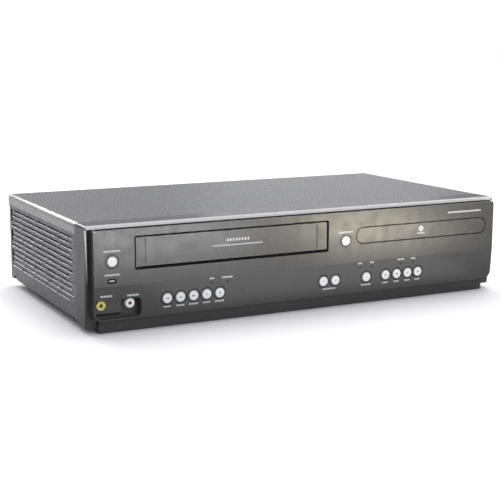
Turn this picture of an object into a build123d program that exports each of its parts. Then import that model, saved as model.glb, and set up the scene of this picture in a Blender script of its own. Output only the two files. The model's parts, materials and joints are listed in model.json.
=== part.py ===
from build123d import *
import os
from math import cos, hypot, pi, radians, sin, tan

os.makedirs("parts", exist_ok=True)

# Frame: +X to the right as seen from the front, +Y to the rear, +Z up, millimetres.
# The origin is the middle of the footprint, on the surface that the feet stand on.

# ---------------------------------------------------------------- overall sizes
overall_width = 435.0
overall_height = 95.0
frame_depth = 233.0          # front frame's edge to the rear edge of the top cover
panel_proud = 9.2            # the raised control panel stands this far before the frame
cap_proud = 0.8              # button caps stand this far before the panel
socket_proud = 7.0           # rear sockets stand this far behind the cover's edge

overall_depth = cap_proud + panel_proud + frame_depth + socket_proud
frame_y = cap_proud + panel_proud - overall_depth / 2
panel_y = frame_y - panel_proud
rear_y = frame_y + frame_depth
half_width = overall_width / 2

# ---------------------------------------------------------------- shared clearances
running_fit = 0.05           # radial play of a pin or shaft in its bearing
slide_gap = 0.3              # play beside a sliding or swinging piece
sheet = 1.0                  # steel sheet of the cover and the chassis
board_thickness = 1.6

# ---------------------------------------------------------------- front moulding
frame_wall = 2.2
frame_band = 24.0            # depth of the smooth band before the steel cover
frame_top_radius = 3.0
frame_bevel = 3.4            # bright bevel along the top and sides of the front edge
cheek_bottom = 4.9
cheek_setback = 3.3          # the cheek's front edge leans back by this at its bottom
cheek_bend_z = 46.0          # where that lean starts
cheek_toe_radius = 12.0
recess_depth = 3.0           # floor of the dark channel round the panel
recess_wall = 2.5
panel_side_gap = 5.0         # channel and cheek beside the panel
panel_half_width = half_width - panel_side_gap
panel_top_gap = 3.7          # and above it
panel_top = overall_height - panel_top_gap
panel_bottom = 12.3
panel_wall = 2.5
panel_top_radius = 3.0
panel_bottom_radius = 8.0
crease_z = 42.8              # below this line the panel leans back
panel_lean = 2.0
plinth_half_width = 206.0
plinth_top = 11.6
plinth_bottom = 0.5
plinth_proud = 1.0
plinth_depth = 9.0
plinth_wall = 2.0

# ---------------------------------------------------------------- top cover
cover_bottom = 8.3
cover_top_radius = 4.0
cover_shoulder = 10.9        # height of the plain band above the step in the side
cover_step_z = overall_height - cover_shoulder
cover_step = 0.8
cover_lap = 6.0              # tongue of the cover that slips inside the front frame
louvre_rows = 12
louvre_first_drop = 4.6      # first row below the step
louvre_first_z = cover_step_z - louvre_first_drop
louvre_pitch = 5.13
louvre_height = 2.4
louvre_length = 34.4
louvre_bridge = 3.0
louvre_count = 5
louvre_shift = 6.0           # every second row starts this much further back
louvre_long_shift = 10.0     # and every fourth row this much
louvre_margin = 9.0          # from the front frame to the first slot
louvre_group = 4             # rows to a group; the last row of each runs to the rear
window_width = 5.6
window_back = 5.2            # from the rear edge to the windows
arch_length = 11.0
arch_height = 3.2
arch_back = 14.0             # middle of the arch before the rear edge
notch_width = 6.0            # small notches in the rear edge of the cover's top
notch_length = 2.2
notch_x = (-205.0, 1.3, 123.8, 204.7)

# ---------------------------------------------------------------- chassis, rear panel, feet
floor_z = 9.0                # top of the chassis floor
chassis_clear = 0.4          # between the chassis and the inside of the cover
chassis_flange = 22.0
rear_inset = 2.5             # rear panel stands this far inside the cover's rear edge
rear_wall = 1.6
foot_radius = 10.0
foot_inset_x = 24.0
foot_inset_y = 30.0
vent_slot_width = 3.0
vent_width = 2.4
screw_x = (-150.0, 0.0, 150.0)
screw_drop = 7.0             # rear screws below the top
screw_z = overall_height - screw_drop
screw_radius = 1.25
screw_head_radius = 3.0
screw_head = 1.4
tab_half_width = 7.0

# ---------------------------------------------------------------- bays across the panel
door_inset = 38.0            # panel's left end to the cassette opening
door_width = 192.4
door_left = -panel_half_width + door_inset
door_right = door_left + door_width
tray_inset = 9.4             # tray opening to the panel's right end
tray_width = 153.9
tray_right = panel_half_width - tray_inset
tray_left = tray_right - tray_width

# ---------------------------------------------------------------- controls on the panel
button_radius = 4.4
button_gap = 0.45            # between a cap and its hole
button_travel = 0.8
button_flange = 1.2          # retaining collar behind the panel wall
button_flange_wall = 1.0
button_stem_radius = 1.6
upper_row_drop = 27.0        # upper row below the panel's top
upper_row_z = panel_top - upper_row_drop
lower_row_z = 27.2
power_inset = 16.6           # from the panel's left end
power_x = -panel_half_width + power_inset
open_close_shift = 19.9      # from the cassette opening's right end
open_close_x = door_right + open_close_shift
tape_button_shift = (29.6, 42.3, 55.0, 67.8, 80.7)   # from the cassette opening's left end
tape_button_x = tuple(door_left + shift for shift in tape_button_shift)
tape_button_names = ("rewind", "forward", "stop_eject", "play", "record")
channel_shift = (-3.5, 9.6)  # from the cassette opening's right end
channel_x = tuple(door_right + shift for shift in channel_shift)
source_shift = 12.9          # from the tray opening's left end
source_x = tray_left + source_shift
disc_button_shift = (35.0, 47.9, 60.6, 72.6)
disc_button_x = tuple(tray_left + shift for shift in disc_button_shift)
disc_button_names = ("skip_back", "disc_stop", "disc_play", "skip_forward")
led_z = 37.2
tape_led_shift = (72.6, 87.9)                # from the cassette opening's left end
disc_led_shift = (5.1, 18.6, 51.9, 66.4)     # from the tray opening's left end
led_x = tuple(door_left + shift for shift in tape_led_shift)
led_x += tuple(tray_left + shift for shift in disc_led_shift)
led_radius = 1.3
power_lens_inset = 16.3      # from the panel's left end
power_lens_x = -panel_half_width + power_lens_inset
power_lens_drop = 16.9       # below the power button
power_lens_z = upper_row_z - power_lens_drop
power_lens_width = 7.7
power_lens_height = 3.8
receiver_shift = 102.7       # from the cassette opening's left end
receiver_x = door_left + receiver_shift
receiver_z = 27.3
receiver_radius = 2.0

# ---------------------------------------------------------------- front sockets
pocket_inset = 1.5           # panel's left end to the pocket
pocket_width = 41.9
pocket_left = -panel_half_width + pocket_inset
pocket_right = pocket_left + pocket_width
pocket_bottom = 13.7
pocket_top = 30.8
pocket_radius = 4.0
pocket_depth = 9.0
pocket_ledge_width = 24.0    # over this width the pocket is only a shallow scoop
pocket_ledge_right = pocket_left + pocket_ledge_width
pocket_ledge_depth = 3.2
jack_z = 26.3
video_jack_inset = 5.0       # from the pocket's left end
audio_jack_inset = 10.4      # from its right end
video_jack_x = pocket_left + video_jack_inset
audio_jack_x = pocket_right - audio_jack_inset
jack_radius = 4.2
jack_bore = 1.7
jack_proud = 2.6
jack_reach = 9.0             # depth of a phono socket's bore

# ---------------------------------------------------------------- cassette door and deck
door_height = 27.7
door_top_gap = 7.0           # below the panel's top
door_top = panel_top - door_top_gap
door_bottom = door_top - door_height
door_gap = 0.8
door_gap_low = 1.2
door_setback = 0.6           # the flap's face lies this far behind the panel's face
door_wall = 2.2
door_axis_rise = 2.1         # hinge axis above the opening
door_axis_z = door_top + door_axis_rise
door_axis_back = 4.7         # hinge axis behind the panel's face
door_pin_radius = 1.2
door_pin_length = 4.0
door_lug_width = 4.0
door_lug_radius = 1.9
door_swing = 88.0
door_groove_inset = (9.4, 11.6)              # from the opening's left and right ends
door_groove_x = (door_left + door_groove_inset[0], door_right - door_groove_inset[1])
door_groove_width = 1.2
door_groove_depth = 0.6

# ---------------------------------------------------------------- disc tray opening
tray_height = 16.4
tray_top_gap = 15.1          # below the panel's top
tray_top = panel_top - tray_top_gap
tray_bottom = tray_top - tray_height
tray_radius = 7.6
tray_gap = 0.5
tray_face_wall = 3.0


def block(x0, x1, y0, y1, z0, z1, mode=Mode.ADD):
    """A rectangular block between two corners, added to or cut from the open part."""
    with Locations(((x0 + x1) / 2, (y0 + y1) / 2, (z0 + z1) / 2)):
        return Box(x1 - x0, y1 - y0, z1 - z0, mode=mode)


def pillar(x, y, z0, z1, radius, mode=Mode.ADD):
    """An upright cylinder from z0 to z1."""
    with Locations((x, y, (z0 + z1) / 2)):
        return Cylinder(radius, z1 - z0, mode=mode)


def peg(x, z, y0, y1, radius, mode=Mode.ADD):
    """A cylinder along Y from y0 to y1."""
    with Locations(Location((x, (y0 + y1) / 2, z), (90, 0, 0))):
        return Cylinder(radius, y1 - y0, mode=mode)


def axle(x0, x1, y, z, radius, mode=Mode.ADD):
    """A cylinder along X from x0 to x1."""
    with Locations(Location(((x0 + x1) / 2, y, z), (0, 90, 0))):
        return Cylinder(radius, x1 - x0, mode=mode)


def front_plane(y):
    """A plane facing the viewer at depth y: its x is +X and its y is +Z."""
    return Plane(origin=(0, y, 0), x_dir=(1, 0, 0), z_dir=(0, -1, 0))


def side_plane(x):
    """A plane facing +X at x: its x is +Y and its y is +Z."""
    return Plane(origin=(x, 0, 0), x_dir=(0, 1, 0), z_dir=(1, 0, 0))


def write(builder, name):
    """Label a finished part and write it to its own file."""
    builder.part.label = name
    export_step(builder.part, f"parts/{name}.step")


def panel_face_y(z):
    """Depth of the raised panel's front face at height z."""
    drop = max(0.0, crease_z - z) / (crease_z - panel_bottom)
    return panel_y + panel_lean * drop


# every push button: name, x, z
buttons = [("power_button", power_x, upper_row_z), ("open_close_button", open_close_x, upper_row_z)]
buttons += [(f"{name}_button", x, lower_row_z) for name, x in zip(tape_button_names, tape_button_x)]
buttons += [(f"{name}_button", x, lower_row_z) for name, x in zip(disc_button_names, disc_button_x)]
buttons += [("channel_down_button", channel_x[0], lower_row_z)]
buttons += [("channel_up_button", channel_x[1], lower_row_z)]
buttons += [("source_button", source_x, lower_row_z)]

button_hole_radius = button_radius + button_gap
panel_back = panel_y + panel_wall              # inside face of the panel, upper part
recess_y = frame_y + recess_depth
band_y = frame_y + frame_band
jack_y = panel_face_y(jack_z) + pocket_ledge_depth
pocket_y = panel_face_y(jack_z) + pocket_depth
door_axis_y = panel_y + door_axis_back
ear_width = 3.0
ear_top = panel_top - panel_wall

# ================================================================ front panel
with BuildPart() as front_panel:
    # the raised panel: its side profile, swept across, rounded to its front outline
    with BuildSketch(side_plane(-panel_half_width)):
        with BuildLine():
            Polyline(
                (recess_y, panel_bottom),
                (panel_y + panel_lean, panel_bottom),
                (panel_y, crease_z),
                (panel_y, panel_top),
                (recess_y, panel_top),
                close=True,
            )
        make_face()
    extrude(amount=2 * panel_half_width)
    fillet(front_panel.edges().filter_by(Axis.Y).group_by(Axis.Z)[-1], panel_top_radius)
    fillet(front_panel.edges().filter_by(Axis.Y).group_by(Axis.Z)[0], panel_bottom_radius)
    offset(amount=-panel_wall, openings=front_panel.faces().sort_by(Axis.Y)[-1])
    # the floor of the channel round it
    with BuildSketch(front_plane(recess_y + recess_wall)):
        with Locations((0, (cheek_bottom + overall_height) / 2)):
            RectangleRounded(overall_width, overall_height - cheek_bottom, frame_top_radius)
        with Locations((0, (panel_bottom + panel_top) / 2)):
            Rectangle(
                2 * (panel_half_width - panel_wall),
                panel_top - panel_bottom - 2 * panel_wall,
                mode=Mode.SUBTRACT,
            )
    extrude(amount=recess_wall)
    # the outer frame: cheeks and top band, a side profile cut to the front outline
    with BuildPart(mode=Mode.PRIVATE) as surround:
        with BuildSketch(side_plane(-half_width)):
            with BuildLine():
                Polyline(
                    (frame_y + cheek_setback, cheek_bottom),
                    (frame_y, cheek_bend_z),
                    (frame_y, overall_height - frame_bevel),
                    (frame_y + frame_wall * 0.8, overall_height),
                    (band_y, overall_height),
                    (band_y, cheek_bottom),
                    close=True,
                )
            make_face()
        extrude(amount=overall_width)
        fillet(surround.edges().filter_by(Axis.X).group_by(Axis.Z)[0].sort_by(Axis.Y)[-1], cheek_toe_radius)
        with BuildSketch(front_plane(band_y + 1)) as outline:
            Rectangle(overall_width, 2 * overall_height)
            fillet(outline.vertices().group_by(Axis.Y)[-1], frame_top_radius)
        extrude(amount=frame_band + 2, mode=Mode.INTERSECT)
        block(
            -half_width + frame_wall,
            half_width - frame_wall,
            frame_y - 1,
            band_y + 1,
            cheek_bottom - 1,
            overall_height - frame_wall,
            mode=Mode.SUBTRACT,
        )
    add(surround.part)
    # the plinth below the panel
    block(
        -plinth_half_width,
        plinth_half_width,
        frame_y - plinth_proud,
        frame_y - plinth_proud + plinth_depth,
        plinth_bottom,
        plinth_top,
    )
    block(
        -plinth_half_width + plinth_wall,
        plinth_half_width - plinth_wall,
        frame_y - plinth_proud + plinth_wall,
        frame_y - plinth_proud + plinth_depth + 1,
        plinth_bottom - 1,
        cheek_bottom - 0.5,
        mode=Mode.SUBTRACT,
    )
    # the block behind the socket pocket, then the pocket itself
    block(
        -panel_half_width + 1,
        pocket_right + panel_wall,
        panel_y + panel_lean + 1,
        pocket_y + recess_wall,
        panel_bottom + 1,
        pocket_top + panel_wall,
    )
    with BuildSketch(front_plane(pocket_y)):
        with Locations(((pocket_ledge_right + pocket_right) / 2, (pocket_bottom + pocket_top) / 2)):
            RectangleRounded(pocket_right - pocket_ledge_right, pocket_top - pocket_bottom, pocket_radius)
    extrude(amount=2 * pocket_depth, mode=Mode.SUBTRACT)
    with BuildPart(mode=Mode.PRIVATE) as scoop:
        with BuildSketch(side_plane(pocket_left)):
            with BuildLine():
                Polyline(
                    (panel_y - 1, pocket_bottom),
                    (pocket_y - 1.5, pocket_bottom),
                    (pocket_y - 1.5, pocket_bottom + 1.8),
                    (jack_y, pocket_bottom + 5.0),
                    (jack_y, pocket_top),
                    (panel_y - 1, pocket_top),
                    close=True,
                )
            make_face()
        extrude(amount=pocket_ledge_right + pocket_radius - pocket_left)
        corner = scoop.edges().filter_by(Axis.Y).group_by(Axis.Z)[0].group_by(Axis.X)[0]
        fillet(corner, panel_bottom_radius - 1.4)
    add(scoop.part, mode=Mode.SUBTRACT)
    peg(audio_jack_x, jack_z, pocket_y - 1, pocket_y + recess_wall + 1, jack_radius - 0.6, mode=Mode.SUBTRACT)
    peg(video_jack_x, jack_z, jack_y - 1, pocket_y + recess_wall + 1, jack_radius - 0.6, mode=Mode.SUBTRACT)
    # openings for the flap and the disc tray
    block(door_left, door_right, panel_y - 1, recess_y - 1, door_bottom, door_top, mode=Mode.SUBTRACT)
    with BuildSketch(front_plane(recess_y + recess_wall + 1)):
        with Locations(((tray_left + tray_right) / 2, (tray_bottom + tray_top) / 2)):
            RectangleRounded(tray_right - tray_left, tray_top - tray_bottom, tray_radius)
    extrude(amount=recess_depth + recess_wall + panel_proud + 2, mode=Mode.SUBTRACT)
    # holes for the buttons, the indicators, the power lens and the receiver
    with BuildSketch(front_plane(recess_y - 2)):
        with Locations([(x, z) for _, x, z in buttons]):
            Circle(button_hole_radius)
        with Locations([(x, led_z) for x in led_x]):
            Circle(led_radius)
        with Locations((power_lens_x, power_lens_z)):
            SlotOverall(power_lens_width, power_lens_height)
        with Locations((receiver_x, receiver_z)):
            Circle(receiver_radius)
    extrude(amount=panel_proud + 6, mode=Mode.SUBTRACT)
    # ears that hold the flap's pins
    for ear_x in (door_left - ear_width - 0.2, door_right + 0.2):
        block(ear_x, ear_x + ear_width, panel_back - 0.1, door_axis_y + 2.6, door_axis_z - 3.0, ear_top + 0.1)
    axle(
        door_left - ear_width - 1,
        door_right + ear_width + 1,
        door_axis_y,
        door_axis_z,
        door_pin_radius + running_fit,
        mode=Mode.SUBTRACT,
    )
write(front_panel, "front_panel")

# ================================================================ top cover
side_inner_x = half_width - cover_step - sheet
tongue_x = half_width - frame_wall - 0.1
tongue_top = overall_height - frame_wall - 0.1
tongue_bottom = cheek_bottom + cheek_toe_radius + 8.0


def cover_outline(inset, low):
    """Corners of the cover's outline across the front, drawn inset from its outer skin."""
    x = half_width - inset
    top = overall_height - inset
    return [
        (-x + cover_step, low),
        (-x + cover_step, cover_step_z - cover_step - inset),
        (-x, cover_step_z - inset),
        (-x, top),
        (x, top),
        (x, cover_step_z - inset),
        (x - cover_step, cover_step_z - cover_step - inset),
        (x - cover_step, low),
    ]


louvre_start = band_y + louvre_margin
louvre_step = louvre_length + louvre_bridge

with BuildPart() as top_cover:
    with BuildSketch(front_plane(rear_y)) as skin:
        with BuildLine():
            Polyline(*cover_outline(0, cover_bottom), close=True)
        make_face()
        fillet(skin.vertices().group_by(Axis.Y)[-1], cover_top_radius)
    extrude(amount=rear_y - band_y)
    with BuildSketch(front_plane(rear_y + 1)) as hollow:
        with BuildLine():
            Polyline(*cover_outline(sheet, cover_bottom - 1), close=True)
        make_face()
        fillet(hollow.vertices().group_by(Axis.Y)[-1], cover_top_radius - sheet)
    extrude(amount=rear_y - band_y - sheet + 1, mode=Mode.SUBTRACT)
    # the front end is joggled in and slips inside the front frame
    with BuildSketch(front_plane(band_y)):
        with Locations((0, (tongue_bottom + tongue_top) / 2)):
            Rectangle(2 * tongue_x, tongue_top - tongue_bottom)
    extrude(amount=cover_lap)
    with BuildSketch(front_plane(band_y + sheet)):
        with Locations((0, (cover_bottom + tongue_top - sheet) / 2 - 0.5)):
            Rectangle(2 * (tongue_x - sheet), tongue_top - sheet - cover_bottom + 1)
    extrude(amount=cover_lap + sheet + 1, mode=Mode.SUBTRACT)
    block(
        -side_inner_x,
        side_inner_x,
        band_y - 1,
        band_y + sheet + 0.5,
        cover_bottom - 1,
        floor_z + 0.5,
        mode=Mode.SUBTRACT,
    )
    # louvres: rows of slots, with their ends staggered
    with BuildSketch(side_plane(-half_width - 1)):
        for row in range(louvre_rows):
            z = louvre_first_z - row * louvre_pitch
            shift = louvre_shift if row % 2 else 0.0
            if row % 4 == 3:
                shift = louvre_long_shift
            for column in range(louvre_count):
                y = louvre_start + shift + column * louvre_step + louvre_length / 2
                with Locations((y, z)):
                    Rectangle(louvre_length, louvre_height)
    extrude(amount=overall_width + 2, mode=Mode.SUBTRACT)
    # tall windows at the rear end, one for each group of rows
    with BuildSketch(side_plane(-half_width - 1)):
        for group in range(louvre_rows // louvre_group):
            first = louvre_first_z - group * louvre_group * louvre_pitch
            last = first - (louvre_group - 2) * louvre_pitch
            with Locations((rear_y - window_back - window_width / 2, (first + last) / 2)):
                Rectangle(window_width, first - last + louvre_height)
        # the lower rear corner is cut up in an arch that leaves a small hook
        with Locations((rear_y - arch_back, cover_bottom)):
            SlotOverall(arch_length, 2 * arch_height)
    extrude(amount=overall_width + 2, mode=Mode.SUBTRACT)
    # small notches in the rear edge of the top
    for x in notch_x:
        block(
            x - notch_width / 2,
            x + notch_width / 2,
            rear_y - notch_length,
            rear_y + 1,
            overall_height - sheet - 1,
            overall_height + 1,
            mode=Mode.SUBTRACT,
        )
    # tabs bent down behind the rear panel for the rear screws
    for x in screw_x:
        block(
            x - tab_half_width,
            x + tab_half_width,
            rear_y - rear_inset,
            rear_y - rear_inset + sheet,
            screw_z - 5,
            overall_height - sheet / 2,
        )
        peg(x, screw_z, rear_y - rear_inset - 1, rear_y, screw_radius + 0.45, mode=Mode.SUBTRACT)
write(top_cover, "top_cover")

# ================================================================ chassis, rear panel and feet
chassis_x = side_inner_x - chassis_clear
chassis_front = frame_y + plinth_depth
rear_panel_y = rear_y - rear_inset - rear_wall       # front face of the rear panel
foot_places = [
    (side * (half_width - foot_inset_x), y)
    for side in (-1, 1)
    for y in (frame_y + foot_inset_y, rear_y - foot_inset_y)
]

with BuildPart() as base_chassis:
    block(-chassis_x, chassis_x, chassis_front, rear_panel_y, floor_z - sheet, floor_z)
    for side in (-1, 1):
        inner, outer = sorted((side * chassis_x, side * (chassis_x - sheet)))
        block(inner, outer, band_y + sheet + 1, rear_panel_y, floor_z - sheet, floor_z + chassis_flange)
    # cooling slots under the power board
    with BuildSketch(Plane.XY.offset(floor_z - sheet)):
        with Locations((165, 60)):
            with GridLocations(2.6 * vent_slot_width, 40, 6, 2):
                SlotOverall(30, vent_slot_width, rotation=90)
    extrude(amount=sheet, mode=Mode.SUBTRACT)
    for x, y in foot_places:
        pillar(x, y, floor_z - sheet, floor_z, 2.5, mode=Mode.SUBTRACT)
write(base_chassis, "base_chassis")

with BuildPart() as feet:
    for x, y in foot_places:
        with Locations((x, y, 0)):
            Cone(
                foot_radius - 1.5,
                foot_radius,
                floor_z - sheet,
                align=(Align.CENTER, Align.CENTER, Align.MIN),
            )
        pillar(x, y, floor_z - sheet, floor_z + 3, 2.4)
        pillar(x, y, 0.8, floor_z - sheet - 2, 4.0, mode=Mode.SUBTRACT)
        pillar(x, y, -1, 0.9, 4.0, mode=Mode.SUBTRACT)
write(feet, "feet")

# ================================================================ cassette flap
with BuildPart() as cassette_door:
    face = panel_y + door_setback
    block(
        door_left + door_gap,
        door_right - door_gap,
        face,
        face + door_wall,
        door_bottom + door_gap_low,
        door_top - door_gap,
    )
    for x in door_groove_x:
        block(
            x - door_groove_width / 2,
            x + door_groove_width / 2,
            face - 1,
            face + door_groove_depth,
            door_bottom + door_gap_low + 1.5,
            door_top - door_gap - 1.5,
            mode=Mode.SUBTRACT,
        )
    # stiffening ribs on the rear of the flap
    for z in (door_bottom + 7, door_bottom + 14):
        block(door_left + 8, door_right - 8, face + door_wall, face + door_wall + 1.4, z, z + 1.2)
    # lugs that rise behind the panel wall, with the hinge pins on their outer sides
    for x in (door_left + door_gap, door_right - door_gap - door_lug_width):
        with BuildSketch(side_plane(x)):
            with BuildLine():
                Polyline(
                    (face + door_wall - 0.1, door_top - door_gap - 8),
                    (door_axis_y + door_lug_radius, door_top - door_gap - 2),
                    (door_axis_y + door_lug_radius, door_axis_z),
                    (door_axis_y - door_lug_radius + 0.4, door_axis_z),
                    (door_axis_y - door_lug_radius + 0.4, door_top - door_gap),
                    (face + door_wall - 0.1, door_top - door_gap),
                    close=True,
                )
            make_face()
        extrude(amount=door_lug_width)
        axle(x, x + door_lug_width, door_axis_y, door_axis_z, door_lug_radius - 0.4)
    axle(door_left - door_pin_length + door_gap, door_left + door_gap + 1, door_axis_y, door_axis_z, door_pin_radius)
    axle(door_right - door_gap - 1, door_right + door_pin_length - door_gap, door_axis_y, door_axis_z, door_pin_radius)
write(cassette_door, "cassette_door")

# ================================================================ buttons and indicators
board_y = frame_y + 8.0                 # front face of the control board
switch_depth = 3.5
plunger_length = 0.5
switch_gap = button_travel + 0.1        # a pressed button just reaches its switch
stem_end = board_y - switch_depth - plunger_length - switch_gap

for name, x, z in buttons:
    face = panel_face_y(z)
    with BuildPart() as push_button:
        peg(x, z, face - cap_proud, face + panel_wall + 0.6, button_radius)
        fillet(push_button.edges().sort_by(Axis.Y)[0], 0.5)
        peg(
            x,
            z,
            face + panel_wall + 0.6,
            face + panel_wall + 0.6 + button_flange_wall,
            button_radius + button_flange,
        )
        peg(x, z, face + panel_wall + 1, stem_end, button_stem_radius)
    write(push_button, name)

lens_lip = 1.5                          # the lens overlaps the wall behind its window by this
lens_flange_wall = 1.2
lens_play = 0.1
lens_seat = panel_face_y(power_lens_z - power_lens_height / 2 - lens_lip) + panel_wall
light_pipe_radius = 1.6
with BuildPart() as power_lens:
    with BuildSketch(front_plane(lens_seat + lens_flange_wall)):
        with Locations((power_lens_x, power_lens_z)):
            SlotOverall(power_lens_width + 2 * lens_lip, power_lens_height + 2 * lens_lip)
    extrude(amount=lens_flange_wall)
    with BuildSketch(front_plane(lens_seat + lens_flange_wall / 2)):
        with Locations((power_lens_x, power_lens_z)):
            SlotOverall(power_lens_width - 2 * lens_play, power_lens_height - 2 * lens_play)
    extrude(amount=panel_wall + lens_flange_wall / 4)
    peg(power_lens_x, power_lens_z, lens_seat + lens_flange_wall, board_y, light_pipe_radius)
write(power_lens, "power_lens")

with BuildPart() as indicator_leds:
    for x in led_x:
        peg(x, led_z, panel_face_y(led_z) + 0.6, board_y, led_radius - 0.1)
write(indicator_leds, "indicator_leds")

with BuildPart() as remote_receiver:
    peg(receiver_x, receiver_z, panel_face_y(receiver_z) + 0.3, board_y - 4, receiver_radius - 0.1)
    block(receiver_x - 4, receiver_x + 4, board_y - 4, board_y, receiver_z - 4, receiver_z + 4)
write(remote_receiver, "remote_receiver")

board_low = 16.0
board_high = led_z + 8.8
board_tab_top = upper_row_z + 11.7
board_half_width = panel_half_width - panel_wall - 3.0

with BuildPart() as front_board:
    with BuildSketch(front_plane(board_y + board_thickness)):
        with BuildLine():
            Polyline(
                (-board_half_width, board_low),
                (board_half_width, board_low),
                (board_half_width, board_high),
                (open_close_x + 9, board_high),
                (open_close_x + 9, board_tab_top),
                (open_close_x - 9, board_tab_top),
                (open_close_x - 9, board_high),
                (power_x + 12, board_high),
                (power_x + 12, board_tab_top),
                (-board_half_width, board_tab_top),
                close=True,
            )
        make_face()
    extrude(amount=board_thickness)
write(front_board, "front_board")

with BuildPart() as tact_switches:
    for _, x, z in buttons:
        block(x - 3, x + 3, board_y - switch_depth, board_y, z - 3, z + 3)
        peg(x, z, board_y - switch_depth - plunger_length, board_y - 1, 1.7)
write(tact_switches, "tact_switches")

for name, x, seat in (("front_video_jack", video_jack_x, jack_y), ("front_audio_jack", audio_jack_x, pocket_y)):
    tip = jack_y - jack_proud
    with BuildPart() as phono_jack:
        peg(x, jack_z, tip, seat, jack_radius)
        fillet(phono_jack.edges().sort_by(Axis.Y)[0], 0.5)
        peg(x, jack_z, seat - 0.5, pocket_y + recess_wall + 0.5, jack_radius - 0.7)
        block(x - 3.8, x + 3.8, pocket_y + recess_wall, board_y, jack_z - 4.5, jack_z + 4.5)
        peg(x, jack_z, tip - 1, tip + jack_reach, jack_bore, mode=Mode.SUBTRACT)
    write(phono_jack, name)

# ================================================================ cassette deck
tape_x = (door_left + door_right) / 2      # middle of the cassette opening
bay_margin = 1.0                           # between the holder's inside and the opening's end
holder_half_width = door_width / 2 - bay_margin
rail_wall = 1.5
rail_gap = 0.5
deck_margin = 1.8                          # deck plate beyond the rails
deck_half_width = holder_half_width + sheet + rail_gap + rail_wall + deck_margin
deck_inset = 30.0                          # deck plate behind the front frame
deck_depth = 176.0
deck_front = frame_y + deck_inset
deck_back = deck_front + deck_depth
deck_z = 26.0                              # top of the deck plate
deck_wall = 1.5
deck_leg = 8.0
reel_spacing = 92.0
reel_y = deck_front + 52.0
reel_radius = 14.0
reel_hub_radius = 7.5
reel_top = 42.0
reel_lift = 1.0
spindle_radius = 1.5
drum_y = frame_y + 160.0
drum_radius = 31.0
drum_low = 30.0
drum_split = 41.0
drum_top = 54.0
drum_gap = 0.4
capstan_inset = 33.2                       # keeps the arm's pivot inside the right rail
capstan_x = tape_x + holder_half_width - capstan_inset
capstan_y = frame_y + 132.0
capstan_radius = 1.5
flywheel_radius = 20.0
flywheel_z = (13.0, 19.0)
pinch_radius = 7.0
pinch_gap = 0.3
pinch_arm_length = 24.0
pinch_swing = 18.0
pinch_z = (30.0, 46.0)
holder_front = frame_y + 28.0
holder_depth = 98.0
holder_low = door_bottom
holder_inner_height = 26.0
holder_travel = 40.0
holder_pin_radius = 1.4
holder_pin_z = holder_low + 14.4
holder_pin_y = (holder_front + 12.0, holder_front + 86.0)
rail_top = holder_low + 25.4
slot_play = 0.15
post_radius = 2.0                          # the arm's post and its bore
roller_shaft_radius = 1.5
arm_z = deck_z + 1.5
arm_wall = 2.0
drum_shaft_radius = 3.0
drum_inset = 0.6                           # upper drum inside the lower one
guide_radius = 2.4
guide_foot_radius = 4.5
guide_cap_radius = 3.6
deck_motor_radius = 11.0
deck_motor_length = 30.0
deck_motor_x = tape_x - 60.0
deck_motor_y = deck_back - 12.0
deck_motor_z = deck_z + 12.5
worm_radius = 3.2

reel_places = [(tape_x + side * reel_spacing / 2, reel_y) for side in (-1, 1)]
pinch_x = capstan_x + (capstan_radius + pinch_radius + pinch_gap) * cos(radians(60))
pinch_y = capstan_y - (capstan_radius + pinch_radius + pinch_gap) * sin(radians(60))
guide_places = [
    (tape_x - 62.0, frame_y + 134.0),
    (tape_x - 44.0, frame_y + 148.0),
    (tape_x + 44.0, frame_y + 148.0),
]

# the arm swings about this post; at rest it stands off the capstan by the full swing
arm_pivot_x = pinch_x + pinch_arm_length
arm_pivot_y = pinch_y
roller_x = arm_pivot_x - pinch_arm_length * cos(radians(pinch_swing))
roller_y = arm_pivot_y - pinch_arm_length * sin(radians(pinch_swing))

with BuildPart() as deck_plate:
    block(
        tape_x - deck_half_width,
        tape_x + deck_half_width,
        deck_front,
        deck_back,
        deck_z - deck_wall,
        deck_z,
    )
    for x in (tape_x - deck_half_width, tape_x + deck_half_width - deck_leg):
        for y in (deck_front, deck_back - deck_leg):
            block(x, x + deck_leg, y, y + 2, floor_z, deck_z - deck_wall)
            block(x, x + deck_leg, y, y + deck_leg, floor_z, floor_z + 1)
    # lightening windows
    with BuildSketch(Plane.XY.offset(deck_z - deck_wall)):
        with Locations((tape_x, deck_front + 24), (tape_x - 72, frame_y + 178), (tape_x + 72, frame_y + 182)):
            RectangleRounded(34, 22, 4)
        with Locations((tape_x, drum_y)):
            Circle(drum_radius - 8)
    extrude(amount=deck_wall, mode=Mode.SUBTRACT)
    # the capstan's bearing, the arm's post and the reel spindles
    pillar(capstan_x, capstan_y, deck_z - 4, deck_z + 2, 4.0)
    pillar(capstan_x, capstan_y, deck_z - 5, deck_z + 3, capstan_radius + running_fit, mode=Mode.SUBTRACT)
    pillar(arm_pivot_x, arm_pivot_y, deck_z - 0.5, pinch_z[0] + 5, post_radius)
    for x, y in reel_places:
        pillar(x, y, deck_z - 0.5, reel_top - 1, spindle_radius)
        pillar(x, y, deck_z - 0.5, deck_z + reel_lift - 0.1, 4.0)
write(deck_plate, "deck_plate")

for name, (x, y) in zip(("supply_reel", "takeup_reel"), reel_places):
    with BuildPart() as reel_table:
        low = deck_z + reel_lift
        pillar(x, y, low, low + 3, reel_radius)
        pillar(x, y, low + 3, reel_top - 3, reel_hub_radius)
        with Locations((x, y, reel_top - 3)):
            Cone(reel_hub_radius, 3.0, 3.0, align=(Align.CENTER, Align.CENTER, Align.MIN))
        # splines that catch the cassette's reel
        with BuildSketch(Plane(origin=(x, y, low + 3))):
            with PolarLocations(reel_hub_radius, 6):
                Rectangle(3.0, 1.6)
        extrude(amount=reel_top - low - 8)
        pillar(x, y, low - 1, reel_top + 1, spindle_radius + running_fit, mode=Mode.SUBTRACT)
    write(reel_table, name)

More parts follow.
